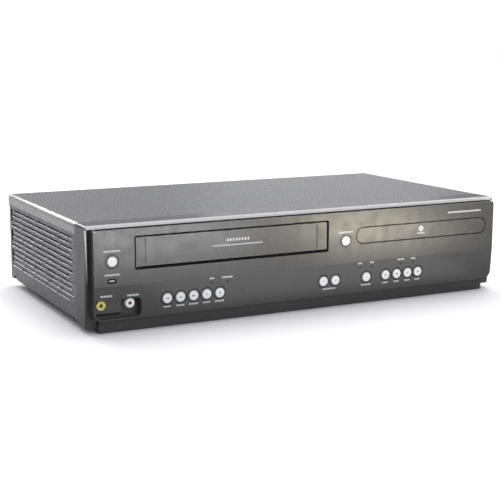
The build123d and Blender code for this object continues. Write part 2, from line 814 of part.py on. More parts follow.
with BuildPart() as lower_drum:
    pillar(tape_x, drum_y, drum_low, drum_split - drum_gap, drum_radius)
    # the slanted ledge that the tape's edge runs on
    with BuildSketch(Plane(origin=(tape_x, drum_y, drum_low + 5), z_dir=(0.10, 0, 1))):
        Circle(drum_radius + 6)
        Circle(drum_radius - drum_inset, mode=Mode.SUBTRACT)
    extrude(amount=drum_split, mode=Mode.SUBTRACT)
    block(tape_x - 26, tape_x + 26, drum_y - 14, drum_y + 26, deck_z, drum_low)
    pillar(tape_x, drum_y, drum_split - drum_gap - 0.5, drum_top + 1.2, drum_shaft_radius)
write(lower_drum, "head_drum_lower")

with BuildPart() as upper_drum:
    pillar(tape_x, drum_y, drum_split, drum_top, drum_radius - drum_inset)
    fillet(upper_drum.edges().group_by(Axis.Z)[-1], 0.8)
    pillar(tape_x, drum_y, drum_top - 5, drum_top + 1, drum_radius - 7, mode=Mode.SUBTRACT)
    pillar(tape_x, drum_y, drum_top - 5.5, drum_top, 9.0)
    pillar(tape_x, drum_y, drum_split - 1, drum_top + 1, drum_shaft_radius + running_fit, mode=Mode.SUBTRACT)
    with BuildSketch(Plane(origin=(tape_x, drum_y, drum_split))):
        with PolarLocations(drum_radius - 2.0, 4):
            Rectangle(5.0, 4.0)
    extrude(amount=1.5, mode=Mode.SUBTRACT)
write(upper_drum, "head_drum_upper")

with BuildPart() as capstan:
    pillar(capstan_x, capstan_y, flywheel_z[0], flywheel_z[1], flywheel_radius)
    pillar(capstan_x, capstan_y, flywheel_z[0] - 1, flywheel_z[0] + 1.5, flywheel_radius - 5, mode=Mode.SUBTRACT)
    pillar(capstan_x, capstan_y, flywheel_z[0], flywheel_z[1] + 1.5, 5.0)
    pillar(capstan_x, capstan_y, flywheel_z[0], pinch_z[1] + 4, capstan_radius)
write(capstan, "capstan")

with BuildPart() as pinch_arm:
    with BuildSketch(Plane.XY.offset(arm_z)):
        with BuildLine():
            Line((arm_pivot_x, arm_pivot_y), (roller_x, roller_y))
        trace(line_width=7)
        with Locations((arm_pivot_x, arm_pivot_y)):
            Circle(5)
        with Locations((roller_x, roller_y)):
            Circle(4.5)
    extrude(amount=arm_wall)
    pillar(arm_pivot_x, arm_pivot_y, arm_z, pinch_z[0] + 5, 2 * post_radius)
    pillar(arm_pivot_x, arm_pivot_y, deck_z, pinch_z[0] + 6, post_radius + running_fit, mode=Mode.SUBTRACT)
    pillar(roller_x, roller_y, arm_z + arm_wall / 4, pinch_z[1] + 1.5, roller_shaft_radius)
write(pinch_arm, "pinch_arm")

with BuildPart() as pinch_roller:
    pillar(roller_x, roller_y, pinch_z[0], pinch_z[1], pinch_radius)
    fillet(pinch_roller.edges(), 0.6)
    bore_radius = roller_shaft_radius + running_fit
    pillar(roller_x, roller_y, pinch_z[0] - 1, pinch_z[1] + 1, bore_radius, mode=Mode.SUBTRACT)
write(pinch_roller, "pinch_roller")

with BuildPart() as tape_guides:
    for x, y in guide_places:
        pillar(x, y, deck_z, pinch_z[1] - 2, guide_radius)
        pillar(x, y, deck_z, deck_z + 2.5, guide_foot_radius)
        pillar(x, y, pinch_z[1] - 2, pinch_z[1], guide_cap_radius)
write(tape_guides, "tape_guides")

with BuildPart() as deck_motor:
    with Locations(Location((deck_motor_x, deck_motor_y, deck_motor_z), (0, 90, 0))):
        Cylinder(deck_motor_radius, deck_motor_length)
    block(deck_motor_x - 14, deck_motor_x + 14, deck_motor_y - 8, deck_motor_y + 8, deck_z, deck_z + 4)
    shaft_end = deck_motor_x + deck_motor_length / 2
    axle(shaft_end, shaft_end + 12, deck_motor_y, deck_motor_z, worm_radius / 2 - 0.1)
    axle(shaft_end + 4, shaft_end + 10, deck_motor_y, deck_motor_z, worm_radius)
write(deck_motor, "deck_motor")

holder_top = holder_low + sheet + holder_inner_height
with BuildPart() as cassette_holder:
    with BuildSketch(front_plane(holder_front + holder_depth)):
        with Locations((tape_x, holder_low + (holder_inner_height + 2 * sheet) / 2)):
            Rectangle(2 * holder_half_width + 2 * sheet, holder_inner_height + 2 * sheet)
            Rectangle(2 * holder_half_width, holder_inner_height, mode=Mode.SUBTRACT)
    extrude(amount=holder_depth)
    # floor windows over the reels and the tape's opening, and the open middle of the top
    with BuildSketch(Plane.XY.offset(holder_low - 1)):
        with Locations(*[(x, holder_front + holder_depth / 2) for x, _ in reel_places]):
            RectangleRounded(52, 64, 6)
        with Locations((tape_x, holder_front + holder_depth)):
            Rectangle(150, 30)
    extrude(amount=sheet + 1.5, mode=Mode.SUBTRACT)
    with BuildSketch(Plane.XY.offset(holder_top - 1)):
        with Locations((tape_x, holder_front + holder_depth / 2 + 6)):
            RectangleRounded(120, 56, 6)
    extrude(amount=sheet + 2, mode=Mode.SUBTRACT)
    # stop at the rear of the bay, and the guide pins
    block(
        tape_x - holder_half_width,
        tape_x - holder_half_width + 14,
        holder_front + holder_depth - sheet,
        holder_front + holder_depth,
        holder_low,
        holder_top,
    )
    block(
        tape_x + holder_half_width - 14,
        tape_x + holder_half_width,
        holder_front + holder_depth - sheet,
        holder_front + holder_depth,
        holder_low,
        holder_top,
    )
    side_x = holder_half_width + sheet
    reach = rail_gap + rail_wall + 1.0
    for y in holder_pin_y:
        axle(tape_x - side_x - reach, tape_x - side_x + 0.5, y, holder_pin_z, holder_pin_radius)
        axle(tape_x + side_x - 0.5, tape_x + side_x + reach, y, holder_pin_z, holder_pin_radius)
write(cassette_holder, "cassette_holder")

rail_x = holder_half_width + sheet + rail_gap
slot_height = 2 * (holder_pin_radius + slot_play)
with BuildPart() as holder_rails:
    for side in (-1, 1):
        near, far = sorted((tape_x + side * rail_x, tape_x + side * (rail_x + rail_wall)))
        block(near, far, holder_front + 2, holder_pin_y[1] + holder_travel + 14, deck_z, rail_top)
        foot_near, foot_far = sorted((tape_x + side * rail_x, tape_x + side * (rail_x - 7)))
        for y in (holder_front + 12, holder_pin_y[1] + holder_travel):
            block(foot_near, foot_far, y, y + 10, deck_z, deck_z + 1.5)
    # L-shaped tracks: straight in, then down
    with BuildSketch(side_plane(tape_x - rail_x - rail_wall - 1)):
        for y in holder_pin_y:
            with Locations((y + holder_travel / 2, holder_pin_z)):
                SlotCenterToCenter(holder_travel, slot_height)
            with Locations((y + holder_travel, holder_pin_z - 10)):
                SlotCenterToCenter(20, slot_height, rotation=90)
        with Locations((holder_front + 58, deck_z + 18)):
            RectangleRounded(70, 16, 4)
    extrude(amount=2 * (rail_x + rail_wall) + 2, mode=Mode.SUBTRACT)
write(holder_rails, "holder_rails")

with BuildPart() as door_spring:
    coil_x = door_right + ear_width + 0.4
    with Locations(Location((coil_x + 2.0, door_axis_y, door_axis_z), (0, 90, 0))):
        Cylinder(2.2, 4.0)
        Cylinder(1.5, 4.0, mode=Mode.SUBTRACT)
    block(coil_x + 3.4, coil_x + 4.0, door_axis_y - 0.3, door_axis_y + 0.3, door_axis_z - 8, door_axis_z - 1.8)
write(door_spring, "door_spring")

# ================================================================ disc loader
disc_x = (tray_left + tray_right) / 2      # middle of the tray
disc_y = frame_y + 68.0                    # middle of the disc well with the tray in
tray_travel = 136.0
tray_half_width = 71.0
tray_front_y = panel_y + 0.2
tray_body_y = tray_front_y + tray_face_wall
tray_back_y = frame_y + 174.0
tray_low = tray_bottom + 4.6
tray_floor = tray_low + 1.8
tray_rim = tray_low + 6.6
disc_well_radius = 60.5
disc_small_radius = 40.5
disc_small_depth = 0.8
tray_hub_hole = 19.0
tray_slot_width = 38.0
tray_arch_z = tray_low + 3.0               # underside of the bar behind the pickup slot
tray_arch_y = frame_y + 150.0
rack_low = tray_low - 4.0
rack_back_x = disc_x - tray_half_width + 2.2
rack_root_x = rack_back_x + 2.2
gear_module = 1.0
gear_teeth = 20
gear_backlash = 0.36
tooth_angle = radians(20)
tooth_head = 0.85 * gear_module
tooth_foot = 1.15 * gear_module
gear_radius = gear_module * gear_teeth / 2
gear_x = rack_root_x + tooth_foot + gear_radius
gear_y = frame_y + 28.0
gear_z = (rack_low + 0.2, tray_low - 0.4)
pulley_z = (rack_low - 4.0, rack_low)
pulley_radius = 12.0
shelf_z = pulley_z[0] - 0.6
loader_low = shelf_z - 19.8
loader_wall = 2.0
loader_gap = 2.0                           # tray edge to loader wall
loader_front = frame_y + 12.0
loader_back = frame_y + 184.0
loader_top = tray_rim + 2.6
loader_inner = tray_half_width + loader_gap
ledge_reach = 5.2
motor_x = gear_x + 36.0
motor_y = gear_y - 1.0
motor_radius = 9.5
motor_pulley_radius = 3.0
belt_wall = 1.0
traverse_top = shelf_z + 0.2
traverse_wall = 2.5
traverse_half_width = 27.0
traverse_front = disc_y - 24.0
traverse_axis_y = frame_y + 166.0
traverse_axis_z = traverse_top - 1.4
traverse_pin_radius = 2.0
traverse_drop = 4.2                        # degrees
pickup_window_half = 20.0
pickup_window_y = (disc_y + 13.5, disc_y + 82.0)
rod_x = 14.0
rod_z = traverse_top - 5.0
rod_radius = 1.5
pickup_start_y = disc_y + 27.0
pickup_half = (17.5, 12.0)
pickup_z = (traverse_top - 7.4, traverse_top + 5.0)
pickup_travel = 34.0
lens_radius = 5.5
lens_top = traverse_top + 9.6
spindle_radius_motor = 11.5
turntable_radius = 14.0
turntable_z = (traverse_top + 10.0, traverse_top + 12.0)
hub_top = turntable_z[1] + 1.8
bridge_wall = 1.5
bridge_half_depth = 20.0
clamp_radius = 12.0
clamp_gap = 1.0
clamp_low = loader_top - 1.4
clamp_flange_radius = 15.5

with BuildPart() as tray_front:
    with BuildSketch(front_plane(tray_body_y)):
        with Locations((disc_x, (tray_bottom + tray_top) / 2)):
            RectangleRounded(
                tray_right - tray_left - 2 * tray_gap,
                tray_top - tray_bottom - 2 * tray_gap,
                tray_radius - tray_gap,
            )
    extrude(amount=tray_face_wall)
    fillet(tray_front.faces().sort_by(Axis.Y)[0].edges(), 0.6)
write(tray_front, "tray_front")

rack_pitch = pi * gear_module
rack_start = gear_y - 8.0
rack_end = gear_y + tray_travel + 8.0
rack_count = int((rack_end - rack_start) / rack_pitch)
half_tooth = (rack_pitch / 2 - gear_backlash) / 2

with BuildPart() as disc_tray:
    block(
        disc_x - tray_half_width,
        disc_x + tray_half_width,
        tray_body_y,
        tray_back_y,
        tray_low,
        tray_rim,
    )
    fillet(disc_tray.edges().filter_by(Axis.Z).group_by(Axis.Y)[-1], 6.0)
    pillar(disc_x, disc_y, tray_floor, tray_rim + 1, disc_well_radius, mode=Mode.SUBTRACT)
    pillar(disc_x, disc_y, tray_floor - disc_small_depth, tray_rim, disc_small_radius, mode=Mode.SUBTRACT)
    pillar(disc_x, disc_y, tray_low - 1, tray_rim, tray_hub_hole, mode=Mode.SUBTRACT)
    # finger hollows at both sides of the well
    for side in (-1, 1):
        pillar(disc_x + side * (disc_well_radius + 1), disc_y, tray_floor, tray_rim + 1, 9.0, mode=Mode.SUBTRACT)
    # slot for the pickup, closed by an arched bar at the tail
    block(
        disc_x - tray_slot_width / 2,
        disc_x + tray_slot_width / 2,
        disc_y,
        tray_arch_y,
        tray_low - 1,
        tray_rim + 1,
        mode=Mode.SUBTRACT,
    )
    block(
        disc_x - tray_slot_width / 2,
        disc_x + tray_slot_width / 2,
        tray_arch_y - 1,
        tray_back_y + 1,
        tray_low - 1,
        tray_arch_z,
        mode=Mode.SUBTRACT,
    )
    # weight-saving pockets under the solid corners
    for side in (-1, 1):
        block(
            disc_x + side * 45 - 14,
            disc_x + side * 45 + 14,
            tray_arch_y - 13,
            tray_back_y - 6,
            tray_low - 1,
            tray_rim - 2,
            mode=Mode.SUBTRACT,
        )
    # rack along the left underside
    block(rack_back_x, rack_root_x, rack_start, rack_end, rack_low, tray_low + 0.5)
    with BuildSketch(Plane.XY.offset(rack_low)):
        for tooth in range(rack_count):
            y = rack_start + (tooth + 0.5) * rack_pitch
            with BuildLine():
                Polyline(
                    (rack_root_x - 0.2, y - half_tooth - (tooth_foot + 0.2) * tan(tooth_angle)),
                    (rack_root_x + tooth_foot + tooth_head, y - half_tooth + tooth_head * tan(tooth_angle)),
                    (rack_root_x + tooth_foot + tooth_head, y + half_tooth - tooth_head * tan(tooth_angle)),
                    (rack_root_x - 0.2, y + half_tooth + (tooth_foot + 0.2) * tan(tooth_angle)),
                    close=True,
                )
            make_face()
    extrude(amount=tray_low - rack_low + 0.3)
write(disc_tray, "disc_tray")

# the gear's tooth gap faces the rack tooth that lies level with its axle
nearest_tooth = round((gear_y - rack_start) / rack_pitch - 0.5)
nearest_offset = rack_start + (nearest_tooth + 0.5) * rack_pitch - gear_y
gear_turn = 180.0 / gear_teeth - nearest_offset / gear_radius * 180.0 / pi
gear_half_tooth = (rack_pitch / 2 - gear_backlash) / 2

with BuildPart() as tray_gear:
    pillar(gear_x, gear_y, gear_z[0] - 0.3, gear_z[1], gear_radius - tooth_foot)
    with BuildSketch(Plane(origin=(gear_x, gear_y, gear_z[0]))):
        with PolarLocations(0, gear_teeth, start_angle=180 + gear_turn):
            with BuildLine(mode=Mode.PRIVATE) as tooth_line:
                Polyline(
                    (gear_radius - tooth_foot - 0.3, -gear_half_tooth - (tooth_foot + 0.3) * tan(tooth_angle)),
                    (gear_radius + tooth_head, -gear_half_tooth + tooth_head * tan(tooth_angle)),
                    (gear_radius + tooth_head, gear_half_tooth - tooth_head * tan(tooth_angle)),
                    (gear_radius - tooth_foot - 0.3, gear_half_tooth + (tooth_foot + 0.3) * tan(tooth_angle)),
                    close=True,
                )
            add(make_face(tooth_line.wires()[0], mode=Mode.PRIVATE))
    extrude(amount=gear_z[1] - gear_z[0])
    pillar(gear_x, gear_y, pulley_z[0], pulley_z[1], pulley_radius)
    with BuildSketch(Plane(origin=(gear_x, gear_y, 0), x_dir=(1, 0, 0), z_dir=(0, -1, 0))):
        with Locations((pulley_radius, (pulley_z[0] + pulley_z[1]) / 2)):
            Rectangle(2 * belt_wall + 1.0, 1.8)
    revolve(axis=Axis((gear_x, gear_y, 0), (0, 0, 1)), mode=Mode.SUBTRACT)
    pillar(gear_x, gear_y, pulley_z[0] - 1, gear_z[1] + 1, 2.0 + running_fit, mode=Mode.SUBTRACT)
write(tray_gear, "tray_gear")

belt_middle = (pulley_z[0] + pulley_z[1]) / 2
belt_run = pulley_radius - belt_wall - 0.5
with BuildPart() as motor_pulley:
    pillar(motor_x, motor_y, pulley_z[0], pulley_z[1], motor_pulley_radius + 1.5)
    with BuildSketch(Plane(origin=(motor_x, motor_y, 0), x_dir=(1, 0, 0), z_dir=(0, -1, 0))):
        with Locations((motor_pulley_radius + 1.5, belt_middle)):
            Rectangle(3.0, 1.8)
    revolve(axis=Axis((motor_x, motor_y, 0), (0, 0, 1)), mode=Mode.SUBTRACT)
    pillar(motor_x, motor_y, pulley_z[0] - 1, pulley_z[1] + 1, 1.0 + running_fit, mode=Mode.SUBTRACT)
write(motor_pulley, "motor_pulley")

with BuildPart() as drive_belt:
    with BuildSketch(Plane.XY.offset(belt_middle - belt_wall / 2)):
        with Locations((gear_x, gear_y)):
            Circle(belt_run + belt_wall + 0.05)
        with Locations((motor_x, motor_y)):
            Circle(motor_pulley_radius + belt_wall + 0.05)
        make_hull()
        with BuildSketch(Plane.XY, mode=Mode.PRIVATE) as inside:
            with Locations((gear_x, gear_y)):
                Circle(belt_run + 0.05)
            with Locations((motor_x, motor_y)):
                Circle(motor_pulley_radius + 0.05)
            make_hull()
        add(inside.sketch, mode=Mode.SUBTRACT)
    extrude(amount=belt_wall)
write(drive_belt, "drive_belt")

with BuildPart() as loading_motor:
    pillar(motor_x, motor_y, loader_low + loader_wall + 0.3, shelf_z - loader_wall, motor_radius)
    pillar(motor_x, motor_y, shelf_z - loader_wall - 0.5, shelf_z - 0.4, 3.0)
    pillar(motor_x, motor_y, shelf_z - 1, pulley_z[1] + 0.5, 1.0)
write(loading_motor, "loading_motor")

with BuildPart() as loader_frame:
    outer = loader_inner + loader_wall
    block(disc_x - outer, disc_x + outer, loader_front, loader_back, loader_low, loader_top)
    block(
        disc_x - loader_inner,
        disc_x + loader_inner,
        loader_front + loader_wall,
        loader_back - loader_wall,
        loader_low + loader_wall,
        loader_top + 1,
        mode=Mode.SUBTRACT,
    )
    # the front is open for the tray, the middle of the floor is open below the traverse
    block(
        disc_x - loader_inner,
        disc_x + loader_inner,
        loader_front - 1,
        loader_front + loader_wall + 1,
        shelf_z,
        loader_top + 1,
        mode=Mode.SUBTRACT,
    )
    with BuildSketch(Plane.XY.offset(loader_low - 1)):
        with Locations((disc_x, (traverse_front + traverse_axis_y) / 2)):
            RectangleRounded(2 * traverse_half_width + 6, traverse_axis_y - traverse_front - 6, 5)
    extrude(amount=loader_wall + 2, mode=Mode.SUBTRACT)
    # ledges that carry the tray's edges, and lips above them
    for side in (-1, 1):
        for z0, z1 in ((tray_low - slide_gap - 2.0, tray_low - slide_gap), (tray_rim + slide_gap, loader_top)):
            near, far = sorted((disc_x + side * (loader_inner - ledge_reach + 1.4), disc_x + side * (loader_inner + 0.5)))
            block(near, far, loader_front + loader_wall, loader_back - loader_wall, z0, z1)
    # shelf for the gear and the motor, and the gear's post
    block(
        disc_x - loader_inner - 0.5,
        motor_x + motor_radius + 2,
        loader_front,
        gear_y + pulley_radius + 3,
        shelf_z - loader_wall,
        shelf_z,
    )
    block(
        motor_x + motor_radius,
        motor_x + motor_radius + 2,
        loader_front,
        gear_y + pulley_radius + 3,
        loader_low,
        shelf_z - 0.5,
    )
    pillar(motor_x, motor_y, shelf_z - loader_wall - 1, shelf_z + 1, 3.0 + running_fit, mode=Mode.SUBTRACT)
    pillar(gear_x, gear_y, shelf_z - 0.5, gear_z[1], 2.0)
    pillar(gear_x, gear_y, shelf_z - 0.5, pulley_z[0] - 0.2, 4.0)
    # ears for the traverse's hinge pins
    for side in (-1, 1):
        near, far = sorted(
            (disc_x + side * (traverse_half_width + 0.6), disc_x + side * (traverse_half_width + 5))
        )
        block(near, far, traverse_axis_y - 6, traverse_axis_y + 6, loader_low + 0.5, traverse_axis_z + 4)
    axle(
        disc_x - traverse_half_width - 6,
        disc_x + traverse_half_width + 6,
        traverse_axis_y,
        traverse_axis_z,
        traverse_pin_radius + running_fit,
        mode=Mode.SUBTRACT,
    )
    block(
        disc_x - traverse_half_width,
        disc_x + traverse_half_width,
        traverse_axis_y - 8,
        loader_back - loader_wall,
        loader_low - 1,
        loader_low + loader_wall + 1,
        mode=Mode.SUBTRACT,
    )
write(loader_frame, "loader_frame")

with BuildPart() as traverse:
    block(
        disc_x - traverse_half_width,
        disc_x + traverse_half_width,
        traverse_front,
        traverse_axis_y + 4,
        traverse_top - traverse_wall,
        traverse_top,
    )
    fillet(traverse.edges().filter_by(Axis.Z).group_by(Axis.Y)[0], 8.0)
    block(
        disc_x - pickup_window_half,
        disc_x + pickup_window_half,
        pickup_window_y[0],
        pickup_window_y[1],
        traverse_top - traverse_wall - 1,
        traverse_top + 1,
        mode=Mode.SUBTRACT,
    )
    # lugs below the plate that hold the two rods
    for y0, y1 in ((pickup_window_y[0] - 5, pickup_window_y[0]), (pickup_window_y[1], pickup_window_y[1] + 5)):
        for side in (-1, 1):
            x = disc_x + side * rod_x
            block(x - 3.5, x + 3.5, y0, y1, rod_z - 3, traverse_top - traverse_wall + 0.5)
            peg(x, rod_z, y0 - 1, y1 + 1, rod_radius, mode=Mode.SUBTRACT)
    axle(
        disc_x - traverse_half_width - 4.5,
        disc_x + traverse_half_width + 4.5,
        traverse_axis_y,
        traverse_axis_z,
        traverse_pin_radius,
    )
write(traverse, "traverse_frame")

with BuildPart() as guide_rods:
    for side in (-1, 1):
        peg(disc_x + side * rod_x, rod_z, pickup_window_y[0] - 5, pickup_window_y[1] + 5, rod_radius)
write(guide_rods, "guide_rods")

with BuildPart() as pickup:
    block(
        disc_x - pickup_half[0],
        disc_x + pickup_half[0],
        pickup_start_y - pickup_half[1],
        pickup_start_y + pickup_half[1],
        pickup_z[0],
        pickup_z[1],
    )
    fillet(pickup.edges().filter_by(Axis.Z), 2.0)
    chamfer(pickup.edges().group_by(Axis.Z)[-1], 1.0)
    block(
        disc_x - 9,
        disc_x + 9,
        pickup_start_y - 8,
        pickup_start_y + 8,
        pickup_z[1] - 2,
        pickup_z[1] + 1,
        mode=Mode.SUBTRACT,
    )
    pillar(disc_x, pickup_start_y, pickup_z[1] - 3, lens_top - 1.5, lens_radius)
    pillar(disc_x, pickup_start_y, lens_top - 1.6, lens_top, lens_radius - 2.5)
    for side in (-1, 1):
        peg(
            disc_x + side * rod_x,
            rod_z,
            pickup_start_y - pickup_half[1] - 1,
            pickup_start_y + pickup_half[1] + 1,
            rod_radius + running_fit,
            mode=Mode.SUBTRACT,
        )
write(pickup, "optical_pickup")

with BuildPart() as spindle_motor:
    pillar(disc_x, disc_y, traverse_top, turntable_z[0] - 4.0, spindle_radius_motor)
    fillet(spindle_motor.edges().group_by(Axis.Z)[-1], 1.0)
    pillar(disc_x, disc_y, turntable_z[0] - 4.5, turntable_z[0] + 1.0, 1.0)
write(spindle_motor, "spindle_motor")

with BuildPart() as turntable:
    pillar(disc_x, disc_y, turntable_z[0], turntable_z[1], turntable_radius)
    pillar(disc_x, disc_y, turntable_z[0] - 3.0, turntable_z[0], 4.0)
    with Locations((disc_x, disc_y, turntable_z[1])):
        Cone(7.4, 6.2, hub_top - turntable_z[1], align=(Align.CENTER, Align.CENTER, Align.MIN))
    pillar(disc_x, disc_y, turntable_z[0] - 4, turntable_z[0] + 1.2, 1.0 + running_fit, mode=Mode.SUBTRACT)
write(turntable, "turntable")

with BuildPart() as clamp_bridge:
    block(
        disc_x - loader_inner - loader_wall,
        disc_x + loader_inner + loader_wall,
        disc_y - bridge_half_depth,
        disc_y + bridge_half_depth,
        loader_top,
        loader_top + bridge_wall,
    )
    fillet(clamp_bridge.edges().filter_by(Axis.Z), 3.0)
    pillar(disc_x, disc_y, loader_top - 1, loader_top + 3, clamp_radius + clamp_gap, mode=Mode.SUBTRACT)
    with BuildSketch(Plane.XY.offset(loader_top - 1)):
        with Locations((disc_x - 44, disc_y), (disc_x + 44, disc_y)):
            RectangleRounded(34, 22, 4)
    extrude(amount=4, mode=Mode.SUBTRACT)
write(clamp_bridge, "clamp_bridge")

with BuildPart() as disc_clamp:
    pillar(disc_x, disc_y, loader_top + bridge_wall, loader_top + bridge_wall + 1.6, clamp_flange_radius)
    pillar(disc_x, disc_y, clamp_low, loader_top + bridge_wall, clamp_radius)
    fillet(disc_clamp.edges().group_by(Axis.Z)[-1], 0.6)
    pillar(disc_x, disc_y, clamp_low - 1, clamp_low + 1.4, 8.0, mode=Mode.SUBTRACT)
write(disc_clamp, "disc_clamp")

# ================================================================ boards, bracket and rear sockets
board_z = 15.0
board_gap = 5.0                            # between the two boards
main_board_width = 71.0
power_board_width = 77.0
board_split = disc_x - 5.15                # the main board's right edge
main_board = (board_split - main_board_width, board_split, frame_y + 34.0, rear_panel_y - 0.5)
power_left = board_split + board_gap
power_board = (power_left, power_left + power_board_width, frame_y + 60.0, rear_panel_y - 8.0)
standoff_radius = 3.0
board_inset = 6.0


def board_corners(edges):
    """The four fixing points of a board given as (x0, x1, y0, y1)."""
    x0, x1, y0, y1 = edges
    return [(x, y) for x in (x0 + board_inset, x1 - board_inset) for y in (y0 + board_inset, y1 - board_inset)]


with BuildPart() as circuit_boards:
    for edges in (main_board, power_board):
        block(edges[0], edges[1], edges[2], edges[3], board_z, board_z + board_thickness)
        for x, y in board_corners(edges):
            pillar(x, y, board_z - 1, board_z + 3, 1.6, mode=Mode.SUBTRACT)
write(circuit_boards, "circuit_boards")

board_top = board_z + board_thickness
loader_room = 1.4                          # between the tallest component and the loader
component_top = loader_low - loader_room
core_side = 30.0                           # square core of the transformer
core_left = power_left + 20.0
core_x = (core_left, core_left + core_side)
core_back = power_board[3] - 22.0
core_y = (core_back - core_side, core_back)
bobbin_inset = 4.0
# radius, distance from the board's left edge and before the rear panel, and depth below the tallest
capacitors = (
    (9.0, 68.0, 44.0, 0.0),
    (6.0, 67.0, 72.0, 2.0),
    (5.0, 52.0, 76.0, 4.0),
    (4.0, 34.0, 78.0, 6.0),
)
sink_x = (power_left + 6.0, power_left + 8.0, power_left + 15.0)
sink_back = 22.0
sink_length = 48.0
fin_count = 5
fin_pitch = 11.0
fin_wall = 1.5
# processor chips: distance from the board's left edge and behind the front frame, width
chips = ((10.0, 70.0, 22.0), (42.0, 104.0, 16.0), (8.0, 124.0, 12.0))
chip_height = 2.0

with BuildPart() as board_components:
    # transformer: core, bobbin
    block(core_x[0], core_x[1], core_y[0], core_y[1], board_top, component_top - 2)
    block(
        core_x[0] + bobbin_inset,
        core_x[1] - bobbin_inset,
        core_y[0] - bobbin_inset,
        core_y[1] + bobbin_inset,
        board_top + 2,
        component_top - 5,
    )
    for radius, inset, back, lower in capacitors:
        pillar(power_left + inset, rear_panel_y - back, board_top, component_top - lower, radius)
    # finned heat sink
    sink_front_y = rear_panel_y - sink_back - sink_length
    block(sink_x[0], sink_x[1], sink_front_y, sink_front_y + sink_length, board_top, component_top)
    for fin in range(fin_count):
        y = sink_front_y + 2.0 + fin * fin_pitch
        block(sink_x[1], sink_x[2], y, y + fin_wall, board_top, component_top)
    for inset, behind, width in chips:
        with Locations((main_board[0] + inset, frame_y + behind, board_top + chip_height / 2)):
            Box(width, width, chip_height)
write(board_components, "board_components")

bracket_front = loader_front + 4.0
bracket_back = loader_back - 4.0
bracket_left = disc_x - loader_inner - loader_wall
bracket_right = disc_x + loader_inner + loader_wall
with BuildPart() as loader_bracket:
    # two folded steel strips: foot, upright, top flange under the loader's edge
    for side, x in ((1, bracket_left - 6.0), (-1, bracket_right + 6.0)):
        upright = sorted((x, x + side * 1.2))
        flange = sorted((x, x + side * 14.0))
        foot = sorted((x, x - side * 6.0))
        block(upright[0], upright[1], bracket_front, bracket_back, floor_z, loader_low)
        block(flange[0], flange[1], bracket_front, bracket_back, loader_low - 1.2, loader_low)
        block(foot[0], foot[1], bracket_front, bracket_back, floor_z, floor_z + 1.2)
        middle = (bracket_front + bracket_back) / 2
        block(
            upright[0] - 1,
            upright[1] + 1,
            middle - 55,
            middle + 55,
            floor_z + 5,
            loader_low - 6,
            mode=Mode.SUBTRACT,
        )
write(loader_bracket, "loader_bracket")

socket_columns = 5
socket_pitch = 14.0
socket_x = main_board[0] + 7.5             # first column
socket_rows = (26.0, 40.0, 54.0)
aerial_x = socket_x - 22.0
aerial_z = (28.0, 46.0)
aerial_radius = 4.7
aerial_bore = 2.2
aerial_reach = 6.0
gland_z = 30.0
gland_radius = 6.5
socket_radius = 4.2
rear_face_y = rear_panel_y + rear_wall
rear_tip_y = rear_y + socket_proud
rear_half_width = side_inner_x - slide_gap
gland_x = rear_half_width - 27.4
collar_radius = 5.0                        # coloured collar at the foot of each socket
collar_proud = 0.8
collar_y = rear_face_y + collar_proud
vent_x = tape_x - 41.7
vent_z = 50.0
vent_columns = 14
vent_pitch = 5.2
vent_height = 24.0
phono_places = [
    (socket_x + column * socket_pitch, z) for column in range(socket_columns) for z in socket_rows
]

with BuildPart() as rear_panel:
    block(
        -rear_half_width,
        rear_half_width,
        rear_panel_y,
        rear_face_y,
        floor_z - sheet,
        overall_height - sheet - 0.3,
    )
    fillet(rear_panel.edges().filter_by(Axis.Y).group_by(Axis.Z)[-1], cover_top_radius)
    with BuildSketch(front_plane(rear_face_y + 1)):
        with Locations(*phono_places):
            Circle(collar_radius + slide_gap)
        with Locations(*[(aerial_x, z) for z in aerial_z]):
            Circle(aerial_radius + 2 * slide_gap)
        with Locations((gland_x, gland_z)):
            Circle(gland_radius)
        with Locations(*[(x, screw_z) for x in screw_x]):
            Circle(screw_radius + running_fit)
        with Locations((vent_x, vent_z)):
            with GridLocations(vent_pitch, vent_height + 6, vent_columns, 2):
                SlotOverall(vent_height, vent_width, rotation=90)
    extrude(amount=rear_wall + 2, mode=Mode.SUBTRACT)
write(rear_panel, "rear_panel")

with BuildPart() as rear_sockets:
    block(
        socket_x - 7,
        socket_x + (socket_columns - 1) * socket_pitch + 7,
        rear_panel_y - 12,
        rear_panel_y,
        board_top,
        socket_rows[-1] + 7,
    )
    for x, z in phono_places:
        peg(x, z, rear_panel_y - 1, collar_y, collar_radius)
        peg(x, z, collar_y - 0.5, rear_tip_y, socket_radius)
        peg(x, z, rear_tip_y - jack_reach, rear_tip_y + 1, jack_bore, mode=Mode.SUBTRACT)
    # aerial box with its two threaded posts
    block(aerial_x - 10, aerial_x + 10, rear_panel_y - 40, rear_panel_y, floor_z, aerial_z[1] + 12)
    for z in aerial_z:
        peg(aerial_x, z, rear_panel_y - 1, rear_tip_y, aerial_radius)
        peg(aerial_x, z, rear_tip_y - aerial_reach, rear_tip_y + 1, aerial_bore, mode=Mode.SUBTRACT)
write(rear_sockets, "rear_sockets")

with BuildPart() as cord_gland:
    peg(gland_x, gland_z, rear_panel_y - 3, rear_face_y + 4, gland_radius - 0.1)
    peg(gland_x, gland_z, rear_face_y, rear_face_y + 4, gland_radius + 2)
    peg(gland_x, gland_z, rear_panel_y - 3, rear_panel_y, gland_radius + 1.5)
    fillet(cord_gland.edges().sort_by(Axis.Y)[-1], 1.5)
    peg(gland_x, gland_z, rear_panel_y - 4, rear_face_y + 5, 3.0, mode=Mode.SUBTRACT)
write(cord_gland, "cord_gland")

with BuildPart() as cover_screws:
    tab_back = rear_y - rear_inset + sheet
    for x in screw_x:
        peg(x, screw_z, tab_back, tab_back + screw_head, screw_head_radius)
        peg(x, screw_z, rear_panel_y - 4, tab_back + 0.5, screw_radius)
write(cover_screws, "cover_screws")
